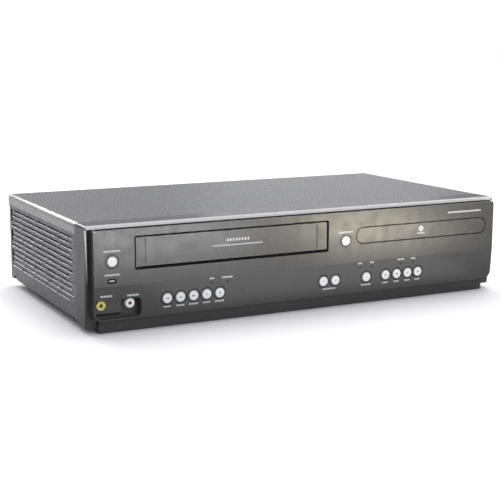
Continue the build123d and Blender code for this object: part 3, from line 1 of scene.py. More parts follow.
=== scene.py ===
"""Dress a disc and tape player: finishes, printed marks, fine metalwork, studio and camera.

Everything is in metres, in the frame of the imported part: +X right, +Y to the rear, +Z up.
"""

from __future__ import annotations

import json
import logging
import math
from dataclasses import dataclass
from enum import Enum
from typing import Sequence

import bmesh
import bpy
from mathutils import Matrix, Vector

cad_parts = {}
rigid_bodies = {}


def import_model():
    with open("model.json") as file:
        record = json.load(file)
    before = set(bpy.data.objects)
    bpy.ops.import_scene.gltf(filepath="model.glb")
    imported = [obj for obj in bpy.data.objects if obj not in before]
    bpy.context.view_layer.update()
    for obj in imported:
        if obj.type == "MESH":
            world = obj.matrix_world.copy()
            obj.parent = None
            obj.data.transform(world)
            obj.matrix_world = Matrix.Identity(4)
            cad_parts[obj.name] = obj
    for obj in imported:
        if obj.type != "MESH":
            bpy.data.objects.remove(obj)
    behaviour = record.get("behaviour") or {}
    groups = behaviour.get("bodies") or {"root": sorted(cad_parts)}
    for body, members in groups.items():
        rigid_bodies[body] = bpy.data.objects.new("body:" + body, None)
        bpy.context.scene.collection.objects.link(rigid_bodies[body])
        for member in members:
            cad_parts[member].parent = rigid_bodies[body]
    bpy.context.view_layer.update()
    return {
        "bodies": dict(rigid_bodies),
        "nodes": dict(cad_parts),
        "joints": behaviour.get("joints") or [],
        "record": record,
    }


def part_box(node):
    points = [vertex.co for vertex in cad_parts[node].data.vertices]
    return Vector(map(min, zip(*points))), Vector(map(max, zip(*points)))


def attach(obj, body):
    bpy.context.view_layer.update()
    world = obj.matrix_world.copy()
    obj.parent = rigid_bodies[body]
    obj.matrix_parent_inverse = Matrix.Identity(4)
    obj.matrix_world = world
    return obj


logging.basicConfig(level=logging.INFO, format="%(message)s")
log = logging.getLogger("player")

MM = 0.001
Colour = tuple[float, float, float]
Point = tuple[float, float]


def grey(level: float) -> Colour:
    """Return a neutral colour.

    Args:
        level: Linear brightness.

    Returns:
        The colour as red, green and blue.
    """
    return (level, level, level)


# ------------------------------------------------------------------ mesh helpers
class MeshMaker:
    """Collects bmesh geometry and turns it into one named object."""

    def __init__(self, name: str) -> None:
        """Start an empty mesh.

        Args:
            name: Name of the object it becomes.
        """
        self.name = name
        self.mesh = bmesh.new()

    def box(self, low: Sequence[float], high: Sequence[float]) -> None:
        """Add a block between two corners.

        Args:
            low: Lowest corner.
            high: Highest corner.
        """
        for vert in bmesh.ops.create_cube(self.mesh, size=1.0)["verts"]:
            vert.co = Vector(
                low[axis] + (vert.co[axis] + 0.5) * (high[axis] - low[axis]) for axis in range(3)
            )

    def turned(self, profile: Sequence[Point], centre: Vector, axis: Vector, steps: int) -> None:
        """Add a turned solid from an open profile whose ends lie on the axis.

        Args:
            profile: Pairs of radius and distance along the axis.
            centre: The axis's start point.
            axis: Direction of the axis.
            steps: Steps of the turn.
        """
        axis = axis.normalized()
        side = axis.orthogonal().normalized()
        verts = [self.mesh.verts.new(centre + axis * along + side * radius) for radius, along in profile]
        edges = [self.mesh.edges.new(pair) for pair in zip(verts, verts[1:])]
        bmesh.ops.spin(
            self.mesh,
            geom=verts + edges,
            cent=centre,
            axis=axis,
            angle=math.tau,
            steps=steps,
            use_merge=True,
        )
        bmesh.ops.remove_doubles(self.mesh, verts=self.mesh.verts, dist=1e-7)

    def loop(self, outline: Sequence[Point], plane: Matrix, height: float) -> list[bmesh.types.BMVert]:
        """Add the vertices of an outline.

        Args:
            outline: Points in the plane, in order.
            plane: Matrix from plane to frame.
            height: Distance above the plane.

        Returns:
            The vertices in order.
        """
        return [self.mesh.verts.new(plane @ Vector((x, y, height))) for x, y in outline]

    def bridge(self, first: Sequence[bmesh.types.BMVert], second: Sequence[bmesh.types.BMVert]) -> None:
        """Join two closed loops of as many vertices by faces.

        Args:
            first: One loop.
            second: The other.
        """
        for index in range(len(first)):
            after = (index + 1) % len(first)
            self.mesh.faces.new((first[index], first[after], second[after], second[index]))

    def plate(self, outline: Sequence[Point], plane: Matrix, depth: float) -> None:
        """Add a flat plate from an outline, thickened along the plane's normal.

        Args:
            outline: Points in the plane, in order.
            plane: Matrix from plane to frame.
            depth: Thickness towards the plane's +Z.
        """
        bottom, top = (self.loop(outline, plane, height) for height in (0.0, depth))
        self.mesh.faces.new(bottom[::-1])
        self.mesh.faces.new(top)
        self.bridge(bottom, top)

    def frame(self, outer: Sequence[Point], inner: Sequence[Point], plane: Matrix, depth: float) -> None:
        """Add a flat frame between two outlines of as many points.

        Args:
            outer: Outer points in the plane, in order.
            inner: Inner points in the plane, in the same order.
            plane: Matrix from plane to frame.
            depth: Thickness towards the plane's +Z.
        """
        sides = ((outer, 0.0), (outer, depth), (inner, depth), (inner, 0.0))
        loops = [self.loop(outline, plane, height) for outline, height in sides]
        for first, second in zip(loops, loops[1:] + loops[:1]):
            self.bridge(first, second)

    def finish(self, material: bpy.types.Material, smooth_angle: float = 35.0) -> bpy.types.Object:
        """Make the object.

        Args:
            material: Its finish.
            smooth_angle: Edges flatter than this are shaded smooth, in degrees.

        Returns:
            The object, at the origin.
        """
        bmesh.ops.recalc_face_normals(self.mesh, faces=self.mesh.faces)
        data = bpy.data.meshes.new(self.name)
        self.mesh.to_mesh(data)
        self.mesh.free()
        made = bpy.data.objects.new(self.name, data)
        bpy.context.scene.collection.objects.link(made)
        data.materials.append(material)
        shade(made, smooth_angle)
        return made

    def carry(self, material: bpy.types.Material, body: str) -> None:
        """Make the object, and name the body it rides on.

        Args:
            material: Its finish.
            body: The body.
        """
        piece = self.finish(material)
        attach(piece, body)
        log.info("made %s", piece.name)


def shade(thing: bpy.types.Object, angle: float) -> None:
    """Shade an object smooth, with its sharper edges kept.

    Args:
        thing: The object.
        angle: Edges sharper than this stay sharp, in degrees.
    """
    for polygon in thing.data.polygons:
        polygon.use_smooth = True
    with bpy.context.temp_override(active_object=thing, object=thing, selected_editable_objects=[thing]):
        bpy.ops.object.shade_smooth_by_angle(angle=math.radians(angle))


def circle(radius: float, steps: int = 20, rise: float = 0.0) -> list[Point]:
    """Return the points of a circle.

    Args:
        radius: Radius.
        steps: Number of points.
        rise: Height of its middle.

    Returns:
        The points in order.
    """
    turns = [math.tau * step / steps for step in range(steps)]
    return [(radius * math.cos(turn), rise + radius * math.sin(turn)) for turn in turns]


def bar(x0: float, x1: float, y0: float, y1: float) -> list[Point]:
    """Return the corners of a rectangle.

    Args:
        x0: Left.
        x1: Right.
        y0: Bottom.
        y1: Top.

    Returns:
        The corners in order.
    """
    return [(x0, y0), (x1, y0), (x1, y1), (x0, y1)]


def rounded(low: Point, high: Point, radius: float, steps: int = 6) -> list[Point]:
    """Return the points of a rectangle with round corners.

    Args:
        low: Lower left corner.
        high: Upper right corner.
        radius: Radius of the corners.
        steps: Steps in each corner.

    Returns:
        The points in order.
    """
    points = []
    corners = ((high[0], high[1], 0), (low[0], high[1], 1), (low[0], low[1], 2), (high[0], low[1], 3))
    for x, y, quarter in corners:
        inward = (-1 if quarter in (0, 3) else 1, -1 if quarter in (0, 1) else 1)
        for step in range(steps + 1):
            turn = math.radians(90.0 * (quarter + step / steps))
            points.append(
                (x + radius * (inward[0] + math.cos(turn)), y + radius * (inward[1] + math.sin(turn)))
            )
    return points


def front_plane(x: float, y: float, z: float, lean: float = 0.0) -> Matrix:
    """Return a plane that faces the viewer, with +X right and +Y up.

    Args:
        x: Its origin.
        y: Its origin.
        z: Its origin.
        lean: Turn about X in degrees; positive faces it downwards.

    Returns:
        Matrix from plane to frame.
    """
    return Matrix.Translation((x, y, z)) @ Matrix.Rotation(math.radians(90.0 + lean), 4, "X")


# ------------------------------------------------------------------ finishes
class NodeGraph:
    """A short way to write a material's nodes."""

    def __init__(self, name: str) -> None:
        """Start a material with one principled shader.

        Args:
            name: Name of the material.
        """
        self.material = bpy.data.materials.new(name)
        self.material.use_nodes = True
        self.tree = self.material.node_tree
        self.shader = self.tree.nodes["Principled BSDF"]
        self.coordinates = self.add("ShaderNodeTexCoord").outputs["Object"]

    def add(self, kind: str, **values: object) -> bpy.types.Node:
        """Add a node and set its properties.

        Args:
            kind: Node type.
            **values: Properties of the node.

        Returns:
            The node.
        """
        node = self.tree.nodes.new(kind)
        for key, value in values.items():
            setattr(node, key, value)
        return node

    def link(self, start: bpy.types.NodeSocket, end: bpy.types.NodeSocket) -> None:
        """Join two sockets.

        Args:
            start: Output socket.
            end: Input socket.
        """
        self.tree.links.new(start, end)

    def feed(self, name: str, value: bpy.types.NodeSocket) -> None:
        """Link a value to the principled shader.

        Args:
            name: Name of the shader's socket.
            value: Output socket.
        """
        self.link(value, self.shader.inputs[name])

    def set(self, **values: object) -> None:
        """Set the principled shader's own sockets.

        Args:
            **values: Socket names, with _ for a space, and their values.
        """
        for key, value in values.items():
            self.shader.inputs[key.replace("_", " ")].default_value = value

    def mapped(self, scale: Sequence[float]) -> bpy.types.NodeSocket:
        """Return object coordinates stretched by a scale.

        Args:
            scale: Factor along each axis.

        Returns:
            The coordinate socket.
        """
        mapping = self.add("ShaderNodeMapping")
        mapping.inputs["Scale"].default_value = tuple(scale)
        self.link(self.coordinates, mapping.inputs["Vector"])
        return mapping.outputs["Vector"]

    def noise(
        self,
        scale: float,
        detail: float = 3.0,
        roughness: float = 0.55,
        stretch: Sequence[float] = (1.0, 1.0, 1.0),
    ) -> bpy.types.NodeSocket:
        """Return noise in object space.

        Args:
            scale: Features per metre.
            detail: Octaves.
            roughness: Strength of the finer octaves.
            stretch: Extra factor along each axis.

        Returns:
            The value socket.
        """
        node = self.add("ShaderNodeTexNoise")
        node.inputs["Scale"].default_value = scale
        node.inputs["Detail"].default_value = detail
        node.inputs["Roughness"].default_value = roughness
        self.link(self.mapped(stretch), node.inputs["Vector"])
        return node.outputs["Fac"]

    def ramp(
        self, value: bpy.types.NodeSocket, stops: Sequence[tuple[float, Colour]]
    ) -> bpy.types.NodeSocket:
        """Return a colour looked up in a ramp.

        Args:
            value: Factor socket.
            stops: Positions and colours.

        Returns:
            The colour socket.
        """
        node = self.add("ShaderNodeValToRGB")
        elements = node.color_ramp.elements
        while len(elements) < len(stops):
            elements.new(0.5)
        for element, (position, colour) in zip(elements, stops):
            element.position = position
            element.color = (*colour, 1.0)
        self.link(value, node.inputs["Fac"])
        return node.outputs["Color"]

    def span(
        self, value: bpy.types.NodeSocket, low: float, high: float, start: float = 0.3, end: float = 0.7
    ) -> bpy.types.NodeSocket:
        """Return a value spread from one range to another.

        Args:
            value: Input socket.
            low: Result at start.
            high: Result at end.
            start: Input that gives low.
            end: Input that gives high.

        Returns:
            The value socket.
        """
        node = self.add("ShaderNodeMapRange")
        node.inputs["From Min"].default_value = start
        node.inputs["From Max"].default_value = end
        node.inputs["To Min"].default_value = low
        node.inputs["To Max"].default_value = high
        self.link(value, node.inputs["Value"])
        return node.outputs["Result"]

    def bump(self, height: bpy.types.NodeSocket, distance: float, strength: float = 1.0) -> None:
        """Drive the shader's normal by a height.

        Args:
            height: Height socket.
            distance: Real height of the relief, in metres.
            strength: Share of the relief that shows.
        """
        node = self.add("ShaderNodeBump")
        node.inputs["Strength"].default_value = strength
        node.inputs["Distance"].default_value = distance
        self.link(height, node.inputs["Height"])
        self.feed("Normal", node.outputs["Normal"])


@dataclass(frozen=True)
class Finish:
    """A named finish. Each kind lays its own nodes."""

    name: str
    colour: Colour

    def make(self) -> bpy.types.Material:
        """Build the material.

        Returns:
            The material.
        """
        graph = NodeGraph(self.name)
        self.lay(graph)
        return graph.material

    def lay(self, graph: NodeGraph) -> None:
        """Lay the nodes.

        Args:
            graph: The material's nodes.
        """
        raise NotImplementedError

    def lit(self, share: float) -> Colour:
        """Return the colour made lighter or darker.

        Args:
            share: Factor on its brightness.

        Returns:
            The colour, no channel above 1.
        """
        return tuple(min(1.0, channel * share) for channel in self.colour)


@dataclass(frozen=True)
class Plastic(Finish):
    """Moulded plastic with a fine grain and slightly uneven gloss."""

    roughness: float = 0.45
    grain_height: float = 0.000006
    mottle: float = 0.10
    coat: float = 0.0
    shine: float = 0.5
    grain_scale: float = 5200.0
    cloud_scale: float = 42.0
    smear_scale: float = 90.0

    def lay(self, graph: NodeGraph) -> None:
        """Lay the nodes.

        Args:
            graph: The material's nodes.
        """
        stops = [(0.3, self.lit(1.0 - self.mottle)), (0.7, self.lit(1.0 + self.mottle))]
        graph.feed("Base Color", graph.ramp(graph.noise(self.cloud_scale, 4.0), stops))
        smear = graph.noise(self.smear_scale, 5.0, 0.6)
        graph.feed("Roughness", graph.span(smear, self.roughness - 0.04, self.roughness + 0.05))
        graph.bump(graph.noise(self.grain_scale, 2.0), self.grain_height)
        graph.set(Coat_Weight=self.coat, Coat_Roughness=0.12, Specular_IOR_Level=self.shine)


@dataclass(frozen=True)
class WrinklePaint(Finish):
    """Textured paint on sheet steel: fine bumps that speckle in the light."""

    speck_scale: float = 1000.0
    speck_height: float = 0.00042
    roughness: float = 0.26
    dip: float = 0.2
    peak: float = 2.9
    # band_highlight and edge are painted highlights: pale colours mixed into the paint on the smooth band of the
    # sides and on the rounded top edge, where the light catches them
    band_highlight: Colour | None = None
    edge: Colour = (0.85, 0.85, 0.86)
    side_x: float = 216.7 * MM
    band_depth: float = 2.4 * MM
    band_z: float = 84.1 * MM
    edge_z: float = 93.4 * MM
    blend: float = 1.2 * MM

    def lay(self, graph: NodeGraph) -> None:
        """Lay the nodes.

        Args:
            graph: The material's nodes.
        """
        speck = graph.noise(self.speck_scale, 2.0, 0.5)
        stops = [(0.42, self.lit(self.dip)), (0.50, self.colour), (0.60, self.lit(self.peak))]
        paint = graph.ramp(speck, stops)
        if self.band_highlight is not None:
            paint = self.painted_highlights(graph, paint)
        graph.feed("Base Color", paint)
        gloss = graph.noise(self.speck_scale * 0.6, 3.0)
        graph.feed("Roughness", graph.span(gloss, self.roughness - 0.1, self.roughness + 0.14))
        graph.bump(speck, self.speck_height, 0.8)
        graph.set(Metallic=0.25)

    def painted_highlights(self, graph: NodeGraph, paint: bpy.types.NodeSocket) -> bpy.types.NodeSocket:
        """Paint highlights: lighten the folded band along the sides, and paint a bright highlight on its upper
        corner.

        Args:
            graph: The material's nodes.
            paint: Colour of the paint.

        Returns:
            Colour with the painted highlights on the band and the corner.
        """
        split = graph.add("ShaderNodeSeparateXYZ")
        graph.link(graph.mapped((1.0, 1.0, 1.0)), split.inputs["Vector"])
        reach = graph.add("ShaderNodeMath", operation="ABSOLUTE")
        graph.link(split.outputs["X"], reach.inputs[0])
        start = self.side_x - self.band_depth
        near_side = graph.span(reach.outputs[0], 0.0, 1.0, start, start + self.blend)
        for height, colour in ((self.band_z, self.band_highlight), (self.edge_z, self.edge)):
            above = graph.span(split.outputs["Z"], 0.0, 1.0, height, height + self.blend)
            both = graph.add("ShaderNodeMath", operation="MULTIPLY")
            graph.link(near_side, both.inputs[0])
            graph.link(above, both.inputs[1])
            mix = graph.add("ShaderNodeMix", data_type="RGBA")
            graph.link(both.outputs[0], mix.inputs["Factor"])
            graph.link(paint, mix.inputs["A"])
            mix.inputs["B"].default_value = (*colour, 1.0)
            paint = mix.outputs["Result"]
        return paint


@dataclass(frozen=True)
class SheetMetal(Finish):
    """Rolled or drawn metal with a directional grain."""

    roughness: float = 0.32
    stretch: tuple[float, float, float] = (1.0, 0.05, 1.0)
    grain_scale: float = 1800.0

    def lay(self, graph: NodeGraph) -> None:
        """Lay the nodes.

        Args:
            graph: The material's nodes.
        """
        grain = graph.noise(self.grain_scale, 4.0, 0.6, self.stretch)
        cloud = graph.noise(60.0, 4.0)
        graph.feed("Base Color", graph.ramp(cloud, [(0.32, self.lit(0.82)), (0.66, self.colour)]))
        graph.feed("Roughness", graph.span(grain, self.roughness - 0.08, self.roughness + 0.12))
        graph.bump(grain, 0.00001)
        graph.set(Metallic=1.0)


@dataclass(frozen=True)
class CircuitBoard(Finish):
    """Solder mask with faint copper tracks under it."""

    track: Colour = (0.03, 0.19, 0.06)
    cell_scale: float = 260.0

    def lay(self, graph: NodeGraph) -> None:
        """Lay the nodes.

        Args:
            graph: The material's nodes.
        """
        cells = graph.add("ShaderNodeTexVoronoi", distance="MANHATTAN", feature="DISTANCE_TO_EDGE")
        cells.inputs["Scale"].default_value = self.cell_scale
        graph.link(graph.mapped((1.0, 1.0, 1.0)), cells.inputs["Vector"])
        away = cells.outputs["Distance"]
        graph.feed("Base Color", graph.ramp(away, [(0.03, self.colour), (0.06, self.track)]))
        graph.bump(away, 0.00002, 0.4)
        graph.set(Roughness=0.35)


@dataclass(frozen=True)
class Ink(Finish):
    """Screen-printed ink with slightly uneven cover."""

    def lay(self, graph: NodeGraph) -> None:
        """Lay the nodes.

        Args:
            graph: The material's nodes.
        """
        patch = graph.noise(3000.0, 2.0)
        graph.feed("Base Color", graph.ramp(patch, [(0.35, self.lit(0.86)), (0.6, self.colour)]))
        graph.feed("Roughness", graph.span(patch, 0.45, 0.6))


@dataclass(frozen=True)
class Lens(Finish):
    """Tinted clear plastic."""

    roughness: float = 0.12

    def lay(self, graph: NodeGraph) -> None:
        """Lay the nodes.

        Args:
            graph: The material's nodes.
        """
        cloud = graph.noise(700.0, 2.0)
        graph.feed("Base Color", graph.ramp(cloud, [(0.3, self.lit(0.7)), (0.7, self.colour)]))
        graph.feed("Roughness", graph.span(cloud, self.roughness, self.roughness + 0.05))
        graph.set(Coat_Weight=0.6, Coat_Roughness=0.05)


def ring_plastic(name: str, colour: Colour, mottle: float = 0.03) -> Plastic:
    """Return the glossy plastic of a socket's ring.

    Args:
        name: Name of the material.
        colour: Its colour.
        mottle: Unevenness of the colour.

    Returns:
        The finish.
    """
    return Plastic(name, colour, 0.3, mottle=mottle, coat=0.3)


class Finishes:
    """Every finish on the player, made once. Most are named after a slot of the record."""

    recipes: dict[str, Finish] = {
        "panel_plastic": Plastic("panel_plastic", grey(0.064), 0.25, mottle=0.04),
        "tray_plastic": Plastic("tray_plastic", (0.068, 0.068, 0.067), 0.25, mottle=0.04),
        "dark_plastic": Plastic("dark_plastic", grey(0.012), 0.5),
        # the pale side band and top edge of this paint are painted highlights
        "cover_paint": WrinklePaint("cover_paint", (0.118, 0.118, 0.126), band_highlight=(0.46, 0.46, 0.465)),
        "button_silver": Plastic("button_silver", (0.76, 0.77, 0.78), 0.28, mottle=0.02, coat=0.4),
        "steel": SheetMetal("zinc_steel", (0.62, 0.63, 0.64)),
        "bright_steel": SheetMetal("bright_steel", (0.82, 0.82, 0.83), 0.16),
        "aluminium": SheetMetal("turned_aluminium", (0.80, 0.81, 0.82), 0.2, (1.0, 1.0, 6.0)),
        "motor_steel": SheetMetal("motor_steel", (0.42, 0.43, 0.45), 0.3),
        "board_green": CircuitBoard("circuit_board", (0.012, 0.10, 0.035)),
        "chip_black": Plastic("chip_plastic", grey(0.018), 0.55),
        "yellow_ring": ring_plastic("yellow_ring", (0.66, 0.58, 0.17)),
        "white_ring": ring_plastic("white_ring", (0.9, 0.9, 0.88), 0.02),
        "white_plastic": Plastic("gear_plastic", (0.78, 0.77, 0.70), 0.42, mottle=0.03),
        "rubber": Plastic("rubber", grey(0.014), 0.75, grain_height=0.00002),
        "lens_red": Lens("lens_red", grey(0.045)),
        "lens_dark": Lens("lens_smoke", (0.012, 0.010, 0.012)),
        "print_white": Ink("print_white", grey(0.80)),
        "print_dark": Ink("print_dark", grey(0.06)),
        # pale colour of the louvre lips is a painted highlight: the cover's paint as lit on the lips
        "lip": WrinklePaint("louvre_lip_highlight", (0.80, 0.80, 0.82), dip=0.85, peak=1.15),
        # painted highlight: a pale colour standing in for the light on the dark frame's front bevel
        "rim": Plastic("frame_rim_painted_highlight", grey(0.66), 0.24, mottle=0.03, coat=0.3),
        # painted shade: near-black for lines and patches where openings, keys, the channel and the cover's
        # notches fall into shade
        "gap": Plastic("painted_shade_black", grey(0.003), 0.9, shine=0.05),
        "red_ring": ring_plastic("red_ring", (0.55, 0.03, 0.03)),
        "green_ring": ring_plastic("green_ring", (0.04, 0.30, 0.08)),
        "blue_ring": ring_plastic("blue_ring", (0.03, 0.10, 0.50)),
        "brass": SheetMetal("gilt_brass", (0.78, 0.62, 0.30), 0.25),
    }

    def __init__(self) -> None:
        """Build the materials."""
        self.made = {use: recipe.make() for use, recipe in self.recipes.items()}

    def __getitem__(self, use: str) -> bpy.types.Material:
        """Return a material.

        Args:
            use: Its key in the recipes.

        Returns:
            The material.
        """
        return self.made[use]


# ------------------------------------------------------------------ studio
@dataclass(frozen=True)
class StudioCamera:
    """The photograph's camera, fitted to the object's edges."""

    place: tuple[float, float, float] = (-0.528795, -1.026257, 0.24895)
    right: tuple[float, float, float] = (0.88906707, -0.45777104, 0.00232932)
    up: tuple[float, float, float] = (0.08014438, 0.16065936, 0.9837507)
    focal_pixels: float = 1141.95
    frame_pixels: float = 500.0
    sensor: float = 36.0

    def make(self) -> None:
        """Create the camera and make it the scene's own."""
        data = bpy.data.cameras.new("camera")
        data.sensor_width = self.sensor
        data.lens = self.focal_pixels / self.frame_pixels * self.sensor
        data.clip_start = 0.05
        data.clip_end = 60.0
        camera = bpy.data.objects.new("camera", data)
        bpy.context.scene.collection.objects.link(camera)
        right = Vector(self.right).normalized()
        back = right.cross(Vector(self.up)).normalized()
        up = back.cross(right)
        turn = Matrix((right, up, back)).transposed().to_4x4()
        camera.matrix_world = Matrix.Translation(self.place) @ turn
        bpy.context.scene.camera = camera


def hang(data: bpy.types.Light, direction: Vector) -> bpy.types.Object:
    """Put a lamp into the scene, turned along a direction.

    Args:
        data: The lamp's data.
        direction: Where it shines.

    Returns:
        The lamp, at the origin.
    """
    lamp = bpy.data.objects.new(data.name, data)
    bpy.context.scene.collection.objects.link(lamp)
    lamp.rotation_mode = "QUATERNION"
    lamp.rotation_quaternion = direction.to_track_quat("-Z", "Y")
    return lamp


@dataclass(frozen=True)
class AreaLamp:
    """A soft box aimed at a point."""

    name: str
    place: tuple[float, float, float]
    aim: tuple[float, float, float]
    size: tuple[float, float]
    watts: float
    colour: Colour = (1.0, 1.0, 1.0)

    def make(self) -> None:
        """Create the lamp."""
        data = bpy.data.lights.new(self.name, "AREA")
        data.shape = "RECTANGLE"
        data.size, data.size_y = self.size
        data.energy = self.watts
        data.color = self.colour
        lamp = hang(data, Vector(self.aim) - Vector(self.place))
        lamp.location = self.place
        lamp.visible_camera = False


@dataclass(frozen=True)
class SunLamp:
    """A far, wide lamp that lights the whole floor evenly."""

    name: str
    towards: tuple[float, float, float]
    strength: float
    spread: float

    def make(self) -> None:
        """Create the lamp."""
        data = bpy.data.lights.new(self.name, "SUN")
        data.energy = self.strength
        data.angle = math.radians(self.spread)
        hang(data, Vector(self.towards))


@dataclass(frozen=True)
class Studio:
    """White sweep, soft lamps and camera."""

    key: SunLamp = SunLamp("key", (-0.30, -0.35, -1.0), 1.5, 60.0)
    lamps: tuple[AreaLamp, ...] = (
        AreaLamp("panel_fill", (0.1, -1.9, 1.0), (0.0, -0.12, 0.05), (0.6, 0.6), 7.0),
        AreaLamp("cool_card", (0.0, -0.56, 0.004), (0.0, -0.56, 1.0), (0.28, 0.20), 2.7),
        AreaLamp(
            "warm_card", (0.29, -0.49, 0.004), (0.29, -0.49, 1.0), (0.18, 0.20), 2.6, (1.0, 0.91, 0.72)
        ),
        AreaLamp("near_card", (0.05, -0.22, 0.004), (0.05, -0.22, 1.0), (0.34, 0.12), 0.12),
        AreaLamp("top_right", (0.95, 1.45, 0.42), (0.15, 0.0, 0.09), (0.6, 0.3), 0.35),
        AreaLamp("back_edge", (-0.55, 1.5, 0.90), (-0.2, 0.0, 0.09), (0.9, 0.3), 12.0),
    )
    sky: float = 1.0
    horizon: Colour = (0.26, 0.265, 0.28)
    left_share: float = 0.35
    zenith: Colour = (1.0, 1.0, 1.04)
    floor_half: float = 12.0

    def make(self) -> None:
        """Create floor, world, lamps and camera."""
        maker = MeshMaker("studio_floor")
        half = self.floor_half
        maker.box((-half, -half, -0.01), (half, half, 0.0))
        maker.finish(self.floor_material())
        bpy.context.scene.view_settings.view_transform = "Standard"
        self.make_world()
        for lamp in (self.key, *self.lamps):
            lamp.make()
        StudioCamera().make()

    @staticmethod
    def floor_material() -> bpy.types.Material:
        """Return the pale floor's material.

        Returns:
            The material.
        """
        graph = NodeGraph("floor_paper")
        paper = graph.ramp(graph.noise(5.0, 3.0), [(0.3, (0.93, 0.93, 0.95)), (0.7, (0.95, 0.95, 0.97))])
        seen = graph.add("ShaderNodeMix", data_type="RGBA")
        seen.inputs["A"].default_value = (0.42, 0.42, 0.43, 1.0)
        graph.link(graph.add("ShaderNodeLightPath").outputs["Is Camera Ray"], seen.inputs["Factor"])
        graph.link(paper, seen.inputs["B"])
        graph.feed("Base Color", seen.outputs["Result"])
        graph.set(Roughness=0.7)
        return graph.material

    def make_world(self) -> None:
        """White to the camera, softer as a light."""
        world = bpy.data.worlds.new("studio_world")
        bpy.context.scene.world = world
        world.use_nodes = True
        world.node_tree.nodes.clear()
        add, link = world.node_tree.nodes.new, world.node_tree.links.new
        seen = add("ShaderNodeBackground")
        seen.inputs["Color"].default_value = (1.0, 1.0, 1.0, 1.0)
        lit = add("ShaderNodeBackground")
        lit.inputs["Strength"].default_value = self.sky
        split = add("ShaderNodeSeparateXYZ")
        link(add("ShaderNodeTexCoord").outputs["Object"], split.inputs["Vector"])
        rise = add("ShaderNodeValToRGB")
        low, high = rise.color_ramp.elements
        low.color = (*self.horizon, 1.0)
        high.color = (*self.zenith, 1.0)
        high.position = 0.8
        link(split.outputs["Z"], rise.inputs["Fac"])
        side = add("ShaderNodeMapRange")
        side.inputs["From Min"].default_value = -1.0
        side.inputs["From Max"].default_value = 0.1
        side.inputs["To Min"].default_value = self.left_share
        link(split.outputs["X"], side.inputs["Value"])
        dimmed = add("ShaderNodeVectorMath")
        dimmed.operation = "SCALE"
        link(rise.outputs["Color"], dimmed.inputs["Vector"])
        link(side.outputs["Result"], dimmed.inputs["Scale"])
        link(dimmed.outputs["Vector"], lit.inputs["Color"])
        mix = add("ShaderNodeMixShader")
        link(add("ShaderNodeLightPath").outputs["Is Camera Ray"], mix.inputs["Fac"])
        link(lit.outputs["Background"], mix.inputs[1])
        link(seen.outputs["Background"], mix.inputs[2])
        link(mix.outputs["Shader"], add("ShaderNodeOutputWorld").inputs["Surface"])


@dataclass(frozen=True)
class SoftEdge:
    """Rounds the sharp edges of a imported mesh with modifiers, its mesh untouched."""

    radius: float
    segments: int = 2
    angle: float = 40.0

    def add(self, thing: bpy.types.Object) -> None:
        """Add the modifiers.

        Args:
            thing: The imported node.
        """
        weld = thing.modifiers.new("weld", "WELD")
        weld.merge_threshold = 0.000002
        bevel = thing.modifiers.new("edge", "BEVEL")
        bevel.width = self.radius
        bevel.segments = self.segments
        bevel.limit_method = "ANGLE"
        bevel.angle_limit = math.radians(self.angle)
        bevel.use_clamp_overlap = True
        bevel.harden_normals = False
        bevel.miter_outer = "MITER_ARC"


class CarriedParts:
    """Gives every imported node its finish."""

    edges = {
        "cassette_door": SoftEdge(0.4 * MM),
        "top_cover": SoftEdge(0.3 * MM),
    }

    def __init__(self, frame: dict, finishes: Finishes) -> None:
        """Keep the frame and the finishes.

        Args:
            finishes: The finishes.
        """
        self.nodes: dict[str, bpy.types.Object] = frame["nodes"]
        self.record = frame["record"]
        self.finishes = finishes

    def make(self) -> None:
        """Assign the finishes and round the edges that show."""
        for part in self.record["subparts"]:
            name = part["node"]
            node = self.nodes[name]
            node.data.materials.clear()
            node.data.materials.append(self.finishes[part["material_slot"]])
            if name in self.edges:
                self.edges[name].add(node)
            log.info("dressed %s", name)


# ------------------------------------------------------------------ sub-assemblies
class Symbol(Enum):
    """Generic marks that a key may carry."""

    REWIND = "rewind"
    FORWARD = "forward"
    STOP_EJECT = "stop_eject"
    PLAY = "play"
    RECORD = "record"
    PREVIOUS = "previous"
    STOP = "stop"
    NEXT = "next"
    DOWN = "down"
    UP = "up"
    EJECT = "eject"


def triangle(x: float, half: float, width: float) -> list[Point]:
    """Return a triangle that points to +X, or to -X if width is negative.

    Args:
        x: Its upright side.
        half: Half its height.
        width: Distance from the upright side to the tip.

    Returns:
        Its corners, anticlockwise.
    """
    corners = [(x, -half), (x + width, 0.0), (x, half)]
    return corners if width > 0 else corners[::-1]


